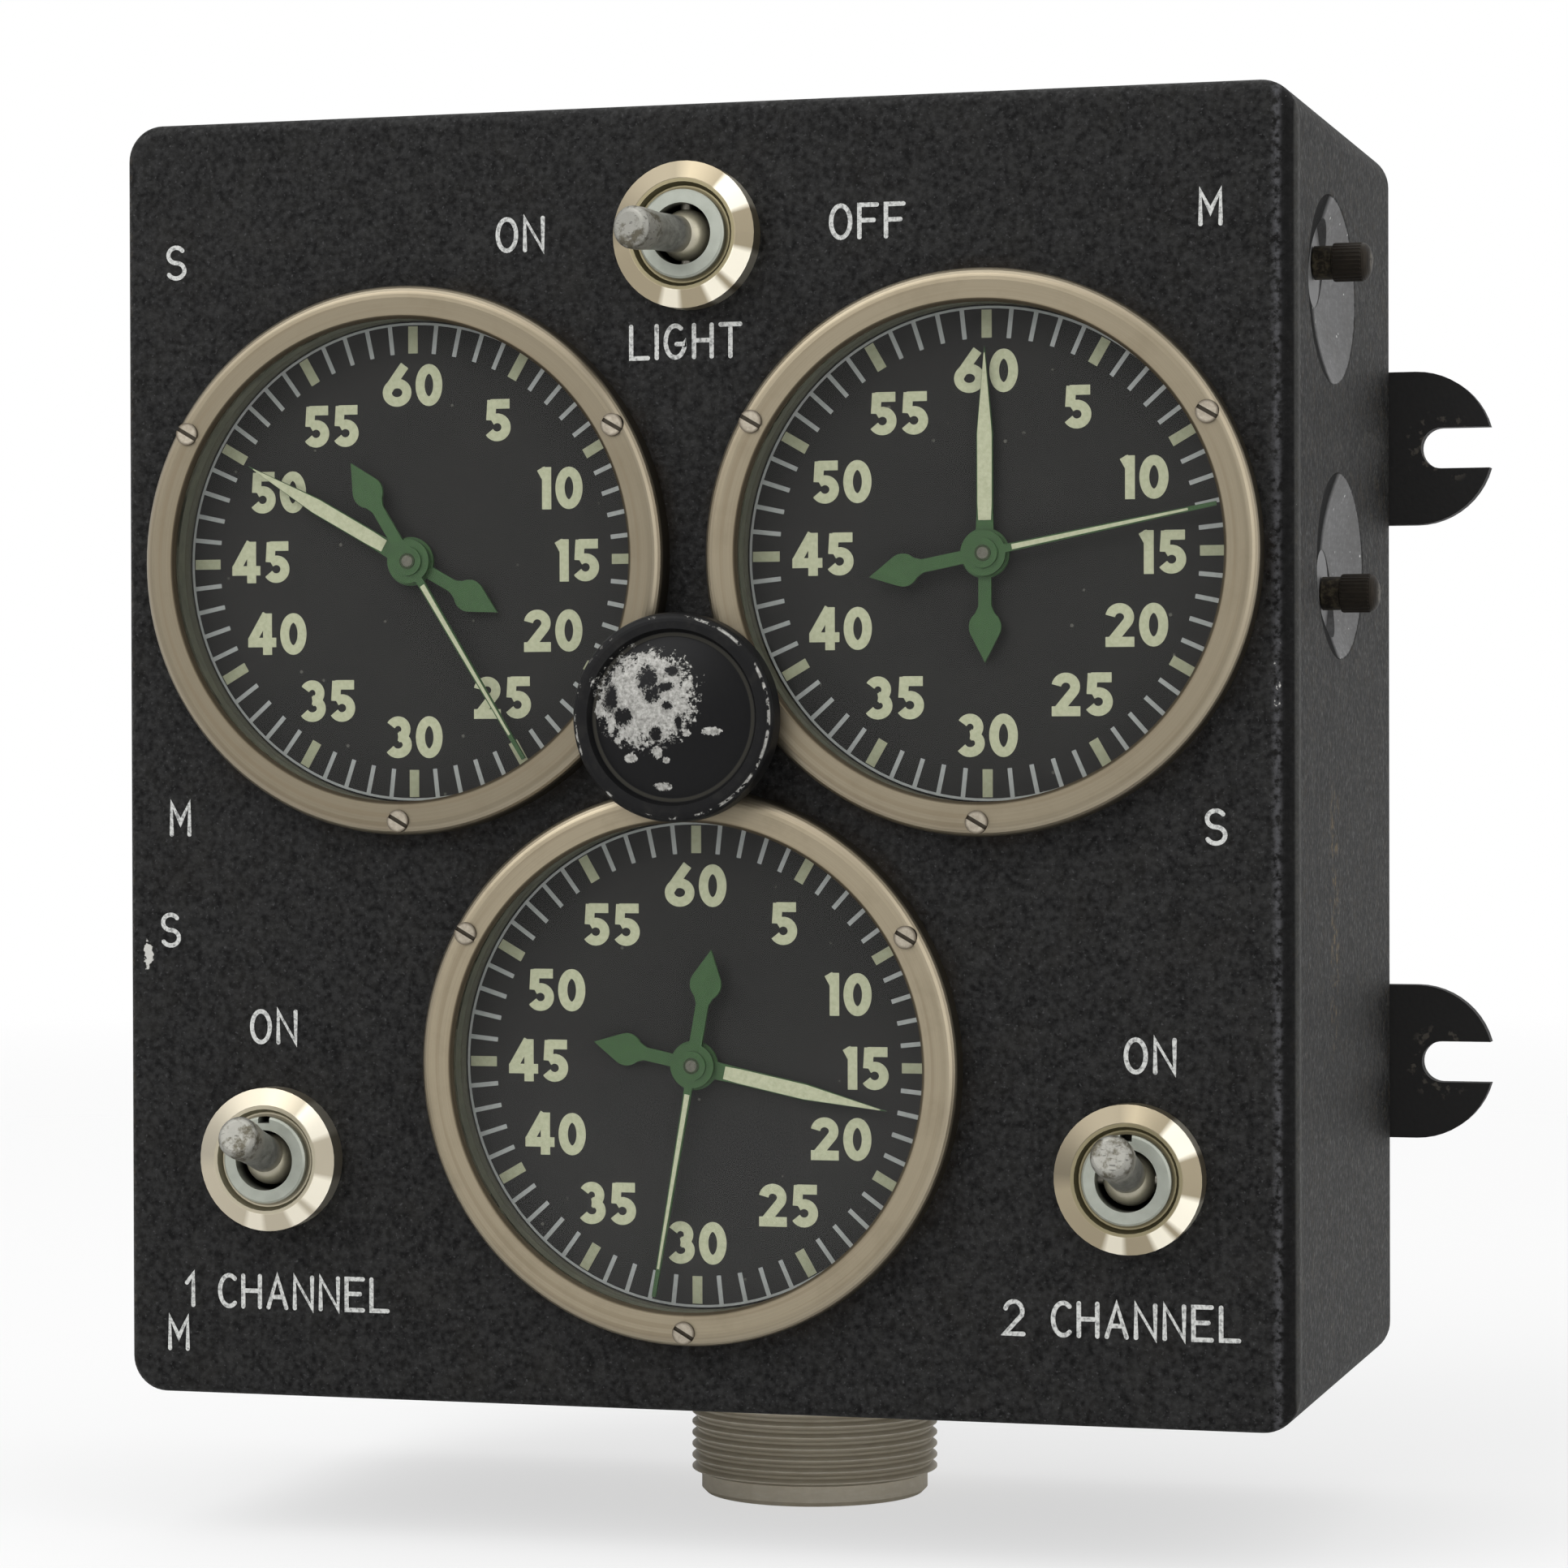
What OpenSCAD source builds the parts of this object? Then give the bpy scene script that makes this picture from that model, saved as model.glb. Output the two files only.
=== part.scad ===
// Three-dial interval timer for an instrument panel.
// X runs to the right of the front view, Y runs into the wall, Z is up.
// The origin is the centre of the plane that the mounting straps bolt against.

/* [Case] */
// Width of the case
case_w = 150; // [146:1:170]
// Height of the case
case_h = 161; // [158:1:180]
// Depth from the mounting plane to the front panel
case_d = 81; // [79:1:100]
// Corner radius of the case, seen from the front
corner_r = 4.5; // [3:0.5:8]
// Rounding of the front edges
edge_r = 1.5; // [1:0.5:2.5]
// Rounding of the rear edges
back_edge_r = 4; // [3:0.2:4.2]
// Side wall thickness
wall_t = 2.5; // [2:0.25:3]
// Front panel thickness
panel_t = 2.5; // [2:0.25:3]
// Depth of the back cover, from its rear face to the seam
cover_depth = 4.5; // [4.2:0.1:4.8]
// Thickness of the back cover
cover_t = 2; // [1.5:0.25:2.5]
// Length of the cover's lip inside the case
lip_len = 2.5; // [2:0.5:4]
// Gap between the lip and the case walls
lip_gap = 0.15; // [0.1:0.05:0.3]

/* [Mounting straps] */
// Thickness of each strap
strap_t = 2.5; // [2:0.25:3.5]
// Height of each strap, and diameter of its round ends
strap_h = 20.6; // [18:0.2:24]
// Distance between the two straps
strap_pitch = 82.6; // [76:0.2:90]
// Reach of a strap past the side of the case
lug_reach = 13.4; // [12.5:0.1:16]
// Width of the open slot
slot_w = 5.5; // [4.5:0.1:6.5]
// Length of the open slot
slot_len = 9.6; // [8:0.1:11]
// Shank diameter of the strap screws
strap_screw_d = 4; // [3:0.5:5]

/* [Dials] */
// Gap between an upper bezel and the side of the case
side_margin = 3.9; // [3.5:0.1:6]
// Gap between the two upper bezels
middle_gap = 5.4; // [4:0.1:8]
// Gap between the upper bezels and the top of the case
top_margin = 21.6; // [21:0.1:24]
// Gap between the lower bezel and the bottom of the case
bottom_margin = 8.5; // [8:0.1:10]
// Height between the two rows of dials, in bezel diameters
row_rise = 0.9137; // [0.9:0.005:1]
// Width of a bezel ring
bezel_w = 4.2; // [4:0.1:4.6]
// Height of a bezel ring above the panel
bezel_t = 4; // [3.6:0.1:4]
// Thickness of the lip that holds the glass
bezel_lip_t = 0.9; // [0.7:0.1:1]
// Width of the lip that holds the glass
bezel_lip_w = 1.4; // [1:0.1:1.4]
// Glass thickness
glass_t = 1.2; // [1:0.1:1.3]
// Thickness of the dial plate
dial_t = 1; // [0.8:0.1:1.5]
// Rise of the dial's face into its opening
dial_rise = 0.6; // [0.3:0.1:1]
// Overlap of the dial plate behind the panel
dial_lap = 2.6; // [2:0.1:3]
// Distance of the bezel screws from the rim of the bezel
bezel_screw_in = 1.8; // [1.6:0.1:1.8]
// Shank diameter of the bezel screws
bezel_screw_d = 1.6; // [1.4:0.1:1.6]
// Head diameter of the bezel screws
bezel_head_d = 2.8; // [2.6:0.1:3]

/* [Hands] */
// Gap between the tip of the minute hand and the edge of the opening
minute_tip_gap = 5.2; // [3:0.1:9]
// Width of the minute hand
minute_w = 2; // [1.6:0.1:2.4]
// Gap between the tip of the second hand and the edge of the opening
second_tip_gap = 1.2; // [1:0.1:6]
// Width of the second hand at its root
second_w = 1; // [0.7:0.1:1.4]
// Length of the tail of a second hand
tail_len = 14.5; // [12:0.5:17]
// Length of the tail of a minute hand
minute_tail_len = 13.2; // [12:0.2:15]
// Width of the leaf-shaped tails
tail_w = 4; // [3:0.2:5]
// Thickness of each hand
hand_t = 0.4; // [0.3:0.05:0.5]
// Hub diameter of the minute hand
minute_hub_d = 6.1; // [5.6:0.1:7]
// Hub diameter of the second hand
second_hub_d = 5.5; // [5:0.1:6]
// Gap between the dial and the minute hand
dial_gap = 0.9; // [0.4:0.05:1]
// Gap between the two hands
hand_gap = 0.45; // [0.3:0.05:0.5]
// Diameter of the second arbor
arbor_d = 2; // [1.8:0.1:2.2]
// Outer diameter of the minute pipe
pipe_d = 3.6; // [3.4:0.1:4]
// Radial clearance of every running fit
run_gap = 0.05; // [0.02:0.01:0.1]

/* [Setting crowns] */
// Distance of the upper side crowns from the top of the case
far_crown_drop = 19.3; // [18.5:0.1:20.5]
// Distance of the next side crowns below the middle of the upper dials
near_crown_drop = 4.3; // [4:0.1:4.6]
// Height of the lower dial's second crown above the middle of its dial
low_second_crown_rise = 11.8; // [11.4:0.1:12.2]
// Distance of the lower dial's minute crown from the bottom of the case
low_minute_crown_rise = 15.5; // [15.1:0.1:15.9]
// Depth of the minute crowns behind the panel face
minute_crown_depth = 27; // [26.5:0.1:28]
// Depth of the second crowns behind the panel face
second_crown_depth = 33; // [32.5:0.1:34]
// Diameter of a crown
crown_d = 4.7; // [4.2:0.1:5.4]
// Reach of a crown past the side of the case
crown_reach = 5; // [4:0.2:6]
// Depth of a finger dish
dish_depth = 2.4; // [2:0.1:2.8]
// Half width of a finger dish, front to back
dish_half_y = 18.5; // [16:0.5:20]
// Half height of a finger dish
dish_half_z = 11.75; // [9:0.25:12]
// Offset of the dish centre from its crown
dish_shift = 3.4; // [2:0.1:4]
// Diameter of a crown shaft
crown_shaft_d = 3; // [2.6:0.1:3.2]
// Outer diameter of the bush in the dish
bush_d = 11; // [9:0.5:12]
// Length of the bush
bush_len = 12; // [9:0.5:13]

/* [Gears] */
// Tip radius of a crown pinion
pinion_r = 2.4; // [2.2:0.1:2.6]
// Outer radius of a contrate wheel on a hand
near_wheel_r = 13.5; // [12:0.5:14]
// Outer radius of a contrate wheel on a transfer arbor
far_wheel_r = 10; // [9:0.5:10.5]
// Diameter of a transfer arbor
transfer_d = 3; // [2.6:0.1:3.2]
// Gap left between tooth tips in mesh
mesh_gap = 0.3; // [0.2:0.05:0.5]

/* [Switches] */
// Distance of the upper switch from the top of the case
top_switch_drop = 16.5; // [15.5:0.1:17.5]
// Distance of the lower switches from the sides of the case
low_switch_in = 20; // [19:0.5:22]
// Distance of the lower switches from the bottom of the case
low_switch_rise = 30.2; // [28.5:0.1:30.5]
// Diameter of the dress nut
nut_d = 18; // [16:0.5:19]
// Thickness of the dress nut
nut_t = 3.7; // [3.2:0.1:3.8]
// Outer diameter of the threaded bushing
bushing_d = 10.9; // [10:0.1:12]
// Bore of the threaded bushing
bushing_bore = 7.6; // [7.5:0.1:8.4]
// Reach of the bushing in front of the panel
bushing_reach = 4; // [3.9:0.1:4.4]
// Length of the lever from its pivot to its tip
lever_len = 12.3; // [11:0.1:14]
// Diameter of the lever's tip
lever_tip_d = 5.2; // [4.6:0.1:5.6]
// Diameter of the lever's neck
lever_neck_d = 4.6; // [3.8:0.1:4.7]
// Tilt of the lever to each side
lever_tilt = 18; // [12:1:18]
// Long side of the switch body
switch_l = 24; // [20:0.5:26]
// Short side of the switch body
switch_w = 16; // [14:0.5:16]
// Depth of the switch body
switch_depth = 15; // [14:0.5:17]

/* [Lamp] */
// Height of the lamp's axis
lamp_z = 5; // [4:0.1:5.5]
// Diameter of the lamp cap
cap_d = 25.5; // [22:0.5:27]
// Gap between the panel and the cap
cap_gap = 4.3; // [4.3:0.1:5]
// Thickness of the lamp cap
cap_t = 4.2; // [3.5:0.1:6]
// Outer diameter of the lamp holder
holder_d = 14; // [13:0.1:14.4]
// Bore of the lamp holder
holder_bore = 10; // [9.5:0.1:10.5]

/* [Connector] */
// Distance of the connector from the mounting plane
plug_depth = 25; // [24.8:0.1:28]
// Thread diameter of the connector
plug_d = 33; // [31:0.2:33.4]
// Pitch of the connector thread
plug_pitch = 1.5; // [1:0.1:2]
// Length of the threaded stretch
plug_thread_len = 15; // [12:0.5:17]
// Diameter of the plain nose
nose_d = 30.4; // [28:0.2:30.6]
// Length of the plain nose
nose_len = 3.2; // [2.6:0.1:5]
// Bore of the connector shell
plug_bore = 27; // [25:0.5:27]
// Depth of the contacts' face inside the mouth
socket_depth = 9; // [8:0.5:10]
// Diameter of a contact
contact_d = 1.6; // [1.4:0.1:2]

/* [Hidden] */
$fn = 64;
cut = 1;              // how far a cutting tool runs past a face

// Planes along the depth
front_y = -case_d;
panel_back_y = front_y + panel_t;
cover_back_y = -strap_t;
seam_y = cover_back_y - cover_depth;
glass_y = front_y - bezel_t + bezel_lip_t;
dial_back_y = panel_back_y + dial_t;
dial_face_y = panel_back_y - dial_rise;
minute_hand_y = dial_face_y - dial_gap - hand_t;
second_hand_y = minute_hand_y - hand_gap - hand_t;
frame_t = 2;
minute_crown_y = front_y + minute_crown_depth;
second_crown_y = front_y + second_crown_depth;
// the wiring trunk runs between the motors and the back cover
trunk_y = -9;
motor_gap = 6;
wheel_gap = 0.3;
wheel_t = 2.5;
minute_wheel_y = minute_crown_y + pinion_r + wheel_gap;
second_wheel_y = second_crown_y + pinion_r + wheel_gap;
spur_t = 2;
minute_spur_y = minute_crown_y - 7;
second_spur_y = second_wheel_y + wheel_t + 2;
// room between the last wheel and the rear plate of a movement
wheel_room = 2.8;
frame_back_y = second_spur_y + spur_t + wheel_room + frame_t;

// The three bezels fill the front, so the tighter of width and height sets their diameter
bezel_od = min((case_w - middle_gap) / 2 - side_margin,
               (case_h - top_margin - bottom_margin) / (1 + row_rise));
bezel_id = bezel_od - 2 * bezel_w;
bezel_screw_r = bezel_od / 2 - bezel_screw_in;
dial_x = case_w / 2 - side_margin - bezel_od / 2;
dial_z = case_h / 2 - top_margin - bezel_od / 2;
low_dial_z = bottom_margin + bezel_od / 2 - case_h / 2;

// Heights of the crowns, and places of the switches
far_crown_z = case_h / 2 - far_crown_drop;
near_crown_z = dial_z - near_crown_drop;
low_second_crown_z = low_dial_z + low_second_crown_rise;
low_minute_crown_z = low_minute_crown_rise - case_h / 2;
top_switch_z = case_h / 2 - top_switch_drop;
low_switch_x = case_w / 2 - low_switch_in;
low_switch_z = low_switch_rise - case_h / 2;

// Places of the three dials and of their drives
left_dial = [-dial_x, dial_z];
right_dial = [dial_x, dial_z];
lower_dial = [0, low_dial_z];
dials = [left_dial, right_dial, lower_dial];
opening_r = bezel_id / 2 + 0.2;
dial_r = opening_r + dial_lap;
minute_len = opening_r - minute_tip_gap;
second_len = opening_r - second_tip_gap;
pillar_r = 2.8;
ear_gap = 0.46;
ear_r = dial_r + pillar_r + ear_gap;
ear_pad_r = 4;
ear_angles = [45, 135, 270];
low_ear_angles = [45, 125, 200, 340];
upper_transfer = [9.3, far_crown_z - dial_z];
low_minute_transfer = [-24, low_minute_crown_z - low_dial_z];
low_second_transfer = [-27.5, low_second_crown_z - low_dial_z];

// Teeth
pinion_teeth = 12;
near_wheel_teeth = 48;
far_wheel_teeth = 32;
tooth_h = 0.9;
// spur pairs: teeth on the transfer arbor, teeth on the hand arbor
upper_pair = [26, 50];
low_minute_pair = [18, 54];
low_second_pair = [21, 36];

bushing_gap = 0.05;

// Screws
rear_screw_in = 8.5;
rear_screw = [case_w / 2 - rear_screw_in, case_h / 2 - rear_screw_in];
rear_screw_d = 3;
rear_boss_r = 6.2;
rear_boss_len = 30;
frame_screw_d = 3;
frame_screw_bite = 1.6;

// Inner pads behind the finger dishes
pad_t = 4;
pad_margin = 2;
inner_x = case_w / 2 - wall_t;
inner_z = case_h / 2 - wall_t;
dish_floor_x = case_w / 2 - dish_depth;

// Hand angles at rest, clockwise from the top
minute_angles = [299.5, 0, 102];
second_angles = [148.5, 79, 190];

function norm2(v) = sqrt(v[0] * v[0] + v[1] * v[1]);
function polar(r, a) = [r * cos(a), r * sin(a)];
function arc(c, r, a0, a1, n) = [for (i = [0:n]) c + polar(r, a0 + (a1 - a0) * i / n)];

// A flat plate between two depths, drawn in the front view
module plate_y(y0, y1) {
  translate([0, y1, 0]) rotate([90, 0, 0]) linear_extrude(height = y1 - y0) children();
}

// Round bars along the three axes
module rod_y(y0, y1, r) {
  translate([0, y0, 0]) rotate([-90, 0, 0]) cylinder(h = y1 - y0, r = r);
}
module rod_x(x0, x1, r) {
  translate([x0, 0, 0]) rotate([0, 90, 0]) cylinder(h = x1 - x0, r = r);
}
module rod_z(z0, z1, r) {
  translate([0, 0, z0]) cylinder(h = z1 - z0, r = r);
}

// Moves its children to a place in the front view
module at(p) {
  translate([p[0], 0, p[1]]) children();
}

module rounded_rect(w, h, r) {
  square([w - 2 * r, h], center = true);
  square([w, h - 2 * r], center = true);
  for (sx = [-1, 1], sz = [-1, 1])
    translate([sx * (w / 2 - r), sz * (h / 2 - r)]) circle(r = r);
}

// Quarter section of a rim: its outer corner is rounded by r
module rim_profile(w, h, r) {
  polygon(concat([[0, 0], [w, 0]], arc([w - r, h - r], r, 0, 90, 10), [[0, h]]));
}

// Block with upright corner radius rc, whose far face (local +Z) has edges rounded by r
module soft_block(w, h, d, rc, r) {
  // core and four sides, each a straight extrusion of the rim section
  translate([-w / 2 + rc, -h / 2 + rc, 0]) cube([w - 2 * rc, h - 2 * rc, d]);
  for (s = [0, 1]) rotate(180 * s) {
    translate([w / 2 - rc, h / 2 - rc, 0]) rotate([90, 0, 0])
      linear_extrude(height = h - 2 * rc) rim_profile(rc, d, r);
    translate([-w / 2 + rc, h / 2 - rc, 0]) rotate([90, 0, 90])
      linear_extrude(height = w - 2 * rc) rim_profile(rc, d, r);
  }
  for (a = [0, 1, 2, 3])
    translate([(a == 0 || a == 3 ? 1 : -1) * (w / 2 - rc), (a < 2 ? 1 : -1) * (h / 2 - rc), 0])
      rotate(90 * a) rotate_extrude(angle = 90) rim_profile(rc, d, r);
}

// Straight-sided teeth round a wheel, as one outline
module toothed_disc(r_tip, teeth, depth) {
  step = 360 / teeth;
  polygon([for (i = [0:teeth - 1], p = [[r_tip - depth, -0.36], [r_tip, -0.16],
                                        [r_tip, 0.16], [r_tip - depth, 0.36]])
    polar(p[0], step * (i + p[1]))]);
}

// Contrate wheel: a disc whose front face carries radial teeth
module contrate_wheel(r, teeth, y, bore_r) {
  step = 360 / teeth;
  difference() {
    union() {
      plate_y(y + tooth_h, y + wheel_t) circle(r = r);
      plate_y(y, y + tooth_h + 0.3)
        for (i = [0:teeth - 1]) rotate(i * step)
          polygon([polar(r - 4, -step / 4), polar(r - 0.2, -step / 5), polar(r - 0.2, step / 5),
                   polar(r - 4, step / 4)]);
    }
    rod_y(y - cut, y + wheel_t + cut, bore_r);
  }
}

// Spur wheel outline with stub teeth; m is the pitch diameter over the tooth count
module spur_outline(m, teeth) {
  step = 360 / teeth;
  root_r = m * (teeth / 2 - 0.5) - mesh_gap;
  tip_r = m * (teeth / 2 + 0.5);
  polygon([for (i = [0:teeth - 1], p = [[root_r, -0.88], [tip_r, -0.44], [tip_r, 0.44], [root_r, 0.88]])
    polar(p[0], step * i + m * p[1] / p[0] * 180 / PI)]);
}

open_wheel_r = 16;
module spur_wheel(m, teeth, y, bore_r, phase) {
  r = m * teeth / 2;
  difference() {
    plate_y(y, y + spur_t) difference() {
      rotate(phase) spur_outline(m, teeth);
      // the larger wheels are lightened by five holes
      if (r > open_wheel_r)
        for (a = [0:72:288]) rotate(a) translate([r * 0.58, 0]) circle(r = r * 0.2);
    }
    rod_y(y - cut, y + spur_t + cut, bore_r);
  }
}

// Size and phase of a spur pair whose transfer arbor stands at place t beside the hand arbor
function pair_m(t, pair) = 2 * norm2(t) / (pair[0] + pair[1]);
function hand_phase(t) = atan2(t[1], t[0]);
function transfer_phase(t, pair) = atan2(t[1], t[0]) + 180 + 180 / pair[0];

// Everything that is cut through the front panel at one dial
module dial_cuts() {
  rod_y(front_y - cut, panel_back_y + cut, opening_r);
  bezel_screw_places() rod_y(front_y - cut, panel_back_y + cut, bezel_screw_d / 2);
}

module bezel_screw_places() {
  for (a = [30, 150, 270]) at(polar(bezel_screw_r, a)) children();
}

// Crown places: side of the case, height, depth, and which way the dish is shifted
crowns = [
  [1, far_crown_z, minute_crown_y, -1],
  [1, near_crown_z, second_crown_y, 1],
  [-1, far_crown_z, second_crown_y, -1],
  [-1, near_crown_z, minute_crown_y, 1],
  [-1, low_second_crown_z, second_crown_y, -1],
  [-1, low_minute_crown_z, minute_crown_y, 1]
];

module at_crown(c) {
  mirror([c[0] < 0 ? 1 : 0, 0, 0]) translate([0, c[2], c[1]]) children();
}

// The oval dish is the outer skin of a ring-shaped tool
module dish_tool(c) {
  tool_y = (dish_half_y * dish_half_y + dish_depth * dish_depth) / (2 * dish_depth);
  tool_z = (dish_half_z * dish_half_z + dish_depth * dish_depth) / (2 * dish_depth);
  translate([dish_floor_x + tool_y, 0, c[3] * dish_shift])
    rotate_extrude($fn = 128) translate([tool_y - tool_z, 0]) circle(r = tool_z, $fn = 128);
}

module dish_pad(c) {
  translate([inner_x - pad_t, -dish_half_y - pad_margin, c[3] * dish_shift - dish_half_z - pad_margin])
    cube([pad_t + 0.5, 2 * (dish_half_y + pad_margin), 2 * (dish_half_z + pad_margin)]);
}

bush_flange_t = 1;
bush_body_r = 3.5;
module bush_shape() {
  rod_x(dish_floor_x - bush_flange_t, dish_floor_x, bush_d / 2);
  rod_x(dish_floor_x - bush_len, dish_floor_x - bush_flange_t + 0.01, bush_body_r);
}

plug_hole_r = plug_d / 2 + 0.15;
plug_flange_r = plug_d / 2 + 3.5;
plug_flange_t = 3;
plug_flat = plug_depth + seam_y - lip_len - 0.5;
plug_screw_r = plug_d / 2 + 1.8;
plug_screw_d = 2;
bottom_z = -case_h / 2;
module at_plug() {
  translate([0, -plug_depth, 0]) children();
}
module plug_screw_places() {
  for (a = [45:90:315]) rotate(a) translate([plug_screw_r, 0, 0]) children();
}

module front_housing() {
  color([0.10, 0.10, 0.11]) difference() {
    union() {
      difference() {
        translate([0, seam_y, 0]) rotate([90, 0, 0])
          soft_block(case_w, case_h, case_d + seam_y, corner_r, edge_r);
        plate_y(panel_back_y, seam_y + cut)
          rounded_rect(2 * inner_x, 2 * inner_z, corner_r - wall_t + 0.5);
      }
      // bosses for the cover screws, standing in the corners
      for (sx = [-1, 1], sz = [-1, 1])
        intersection() {
          at([sx * rear_screw[0], sz * rear_screw[1]])
            rod_y(seam_y - rear_boss_len, seam_y - lip_len - lip_gap, rear_boss_r);
          cube([case_w - wall_t, 3 * case_d, case_h - wall_t], center = true);
        }
      for (c = crowns) at_crown(c) dish_pad(c);
    }
    for (d = dials) at(d) dial_cuts();
    at([0, top_switch_z]) rod_y(front_y - cut, panel_back_y + cut, bushing_d / 2 + bushing_gap);
    for (s = [-1, 1]) at([s * low_switch_x, low_switch_z])
      rod_y(front_y - cut, panel_back_y + cut, bushing_d / 2 + bushing_gap);
    at([0, lamp_z]) rod_y(front_y - cut, panel_back_y + cut, holder_d / 2);
    for (c = crowns) at_crown(c) {
      dish_tool(c);
      bush_shape();
      // round recess that lets the crown turn free of the sloping dish
      rod_x(dish_floor_x - bush_flange_t / 2, case_w / 2 + cut, bush_d / 2);
    }
    at_plug() {
      rod_z(bottom_z - cut, bottom_z + wall_t + cut, plug_hole_r);
      plug_screw_places() rod_z(bottom_z - cut, bottom_z + wall_t + cut, plug_screw_d / 2);
    }
    for (sx = [-1, 1], sz = [-1, 1]) at([sx * rear_screw[0], sz * rear_screw[1]])
      rod_y(seam_y - rear_boss_len / 2, seam_y + cut, rear_screw_d / 2);
    frame_screw_places() rod_y(panel_back_y - frame_screw_bite, panel_back_y + cut, frame_screw_d / 2);
  }
}

strap_screw_x = [22, 58];
strap_screw_gap = 0.1;
module strap_screw_places() {
  for (sx = [-1, 1], x = strap_screw_x, sz = [-1, 1])
    at([sx * x, sz * strap_pitch / 2]) children();
}

module back_cover() {
  color([0.12, 0.12, 0.13]) difference() {
    union() {
      difference() {
        translate([0, seam_y, 0]) rotate([-90, 0, 0])
          soft_block(case_w, case_h, cover_depth, corner_r, back_edge_r);
        plate_y(seam_y - cut, cover_back_y - cover_t)
          rounded_rect(2 * inner_x - 3, 2 * inner_z - 3, corner_r);
      }
      // lip that centres the cover in the case
      plate_y(seam_y - lip_len, seam_y + 0.5) difference() {
        rounded_rect(2 * (inner_x - lip_gap), 2 * (inner_z - lip_gap), corner_r - wall_t + 0.5);
        rounded_rect(2 * inner_x - 3, 2 * inner_z - 3, corner_r);
      }
      for (sx = [-1, 1], sz = [-1, 1]) at([sx * rear_screw[0], sz * rear_screw[1]])
        rod_y(seam_y - lip_len, cover_back_y - cover_t + 0.5, 4);
    }
    for (sx = [-1, 1], sz = [-1, 1]) at([sx * rear_screw[0], sz * rear_screw[1]])
      rod_y(seam_y - lip_len - cut, cut, rear_screw_d / 2 + 0.2);
    strap_screw_places() rod_y(seam_y - cut, cut, strap_screw_d / 2 + strap_screw_gap);
  }
}

rear_head_r = 2.75;
rear_head_t = 2;
strap_nut_t = 3;
countersink_h = 2;
module rear_screws() {
  color([0.62, 0.60, 0.56]) {
    for (sx = [-1, 1], sz = [-1, 1]) at([sx * rear_screw[0], sz * rear_screw[1]])
      difference() {
        union() {
          rod_y(seam_y - rear_boss_len / 2 + 1, cover_back_y + 0.01, rear_screw_d / 2);
          rod_y(cover_back_y, cover_back_y + rear_head_t, rear_head_r);
        }
        translate([-rear_head_r - cut, cover_back_y + rear_head_t - 0.8, -0.4])
          cube([2 * rear_head_r + 2 * cut, 2, 0.8]);
      }
    strap_screw_places() {
      difference() {
        union() {
          rod_y(cover_back_y - cover_t - strap_nut_t - 0.8, -0.2 - countersink_h, strap_screw_d / 2);
          translate([0, -0.2 - countersink_h, 0]) rotate([-90, 0, 0])
            cylinder(h = countersink_h, r1 = strap_screw_d / 2, r2 = strap_screw_d / 2 + countersink_h);
        }
        translate([-2 * strap_screw_d, -1.1, -0.5]) cube([4 * strap_screw_d, 2, 1]);
      }
      difference() {
        translate([0, cover_back_y - cover_t - strap_nut_t, 0]) rotate([-90, 0, 0])
          cylinder(h = strap_nut_t, r = strap_screw_d, $fn = 6);
        rod_y(seam_y - 4 * cut, 0, strap_screw_d / 2);
      }
    }
  }
}

module mounting_straps() {
  tip_x = case_w / 2 + lug_reach;
  color([0.09, 0.09, 0.10]) for (sz = [-1, 1]) translate([0, 0, sz * strap_pitch / 2]) difference() {
    plate_y(-strap_t, 0) difference() {
      union() {
        square([2 * (tip_x - strap_h / 2), strap_h], center = true);
        for (s = [-1, 1]) translate([s * (tip_x - strap_h / 2), 0]) circle(r = strap_h / 2);
      }
      for (s = [-1, 1]) translate([s * (tip_x - slot_len + slot_w / 2), 0]) {
        circle(r = slot_w / 2);
        translate([s > 0 ? 0 : -slot_len, -slot_w / 2]) square([slot_len, slot_w]);
      }
    }
    for (sx = [-1, 1], x = strap_screw_x) translate([sx * x, 0, 0]) {
      rod_y(-strap_t - cut, cut, strap_screw_d / 2 + strap_screw_gap);
      translate([0, -0.2 - countersink_h, 0]) rotate([-90, 0, 0])
        cylinder(h = countersink_h + 0.2, r1 = strap_screw_d / 2, r2 = strap_screw_d / 2 + countersink_h + 0.2);
    }
  }
}

bezel_round = 1.6;
glass_r = bezel_id / 2 + bezel_lip_w;
head_sink = 0.5;
head_t = 0.8;
module bezel() {
  ro = bezel_od / 2;
  ri = bezel_id / 2;
  inner_bevel = 0.4;
  seat_t = bezel_t - bezel_lip_t;
  color([0.66, 0.62, 0.55]) difference() {
    translate([0, front_y, 0]) rotate([90, 0, 0]) rotate_extrude($fn = 128) polygon(concat(
      [[glass_r + 0.1, 0], [ro, 0]],
      arc([ro - bezel_round, bezel_t - bezel_round], bezel_round, 0, 90, 6),
      [[ri + inner_bevel, bezel_t], [ri, bezel_t - inner_bevel], [ri, seat_t], [glass_r + 0.1, seat_t]]));
    bezel_screw_places() {
      rod_y(front_y - bezel_t - cut, front_y + cut, bezel_screw_d / 2);
      rod_y(front_y - bezel_t - cut, front_y - bezel_t + head_sink, bezel_head_d / 2);
    }
  }
}

module dial_glasses() {
  color([0.85, 0.92, 0.95, 0.35]) for (d = dials) at(d) rod_y(glass_y, glass_y + glass_t, glass_r, $fn = 128);
}

module glass_gaskets() {
  color([0.15, 0.18, 0.16]) for (d = dials) at(d) plate_y(glass_y + glass_t, front_y) difference() {
    circle(r = glass_r);
    circle(r = opening_r);
  }
}

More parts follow.
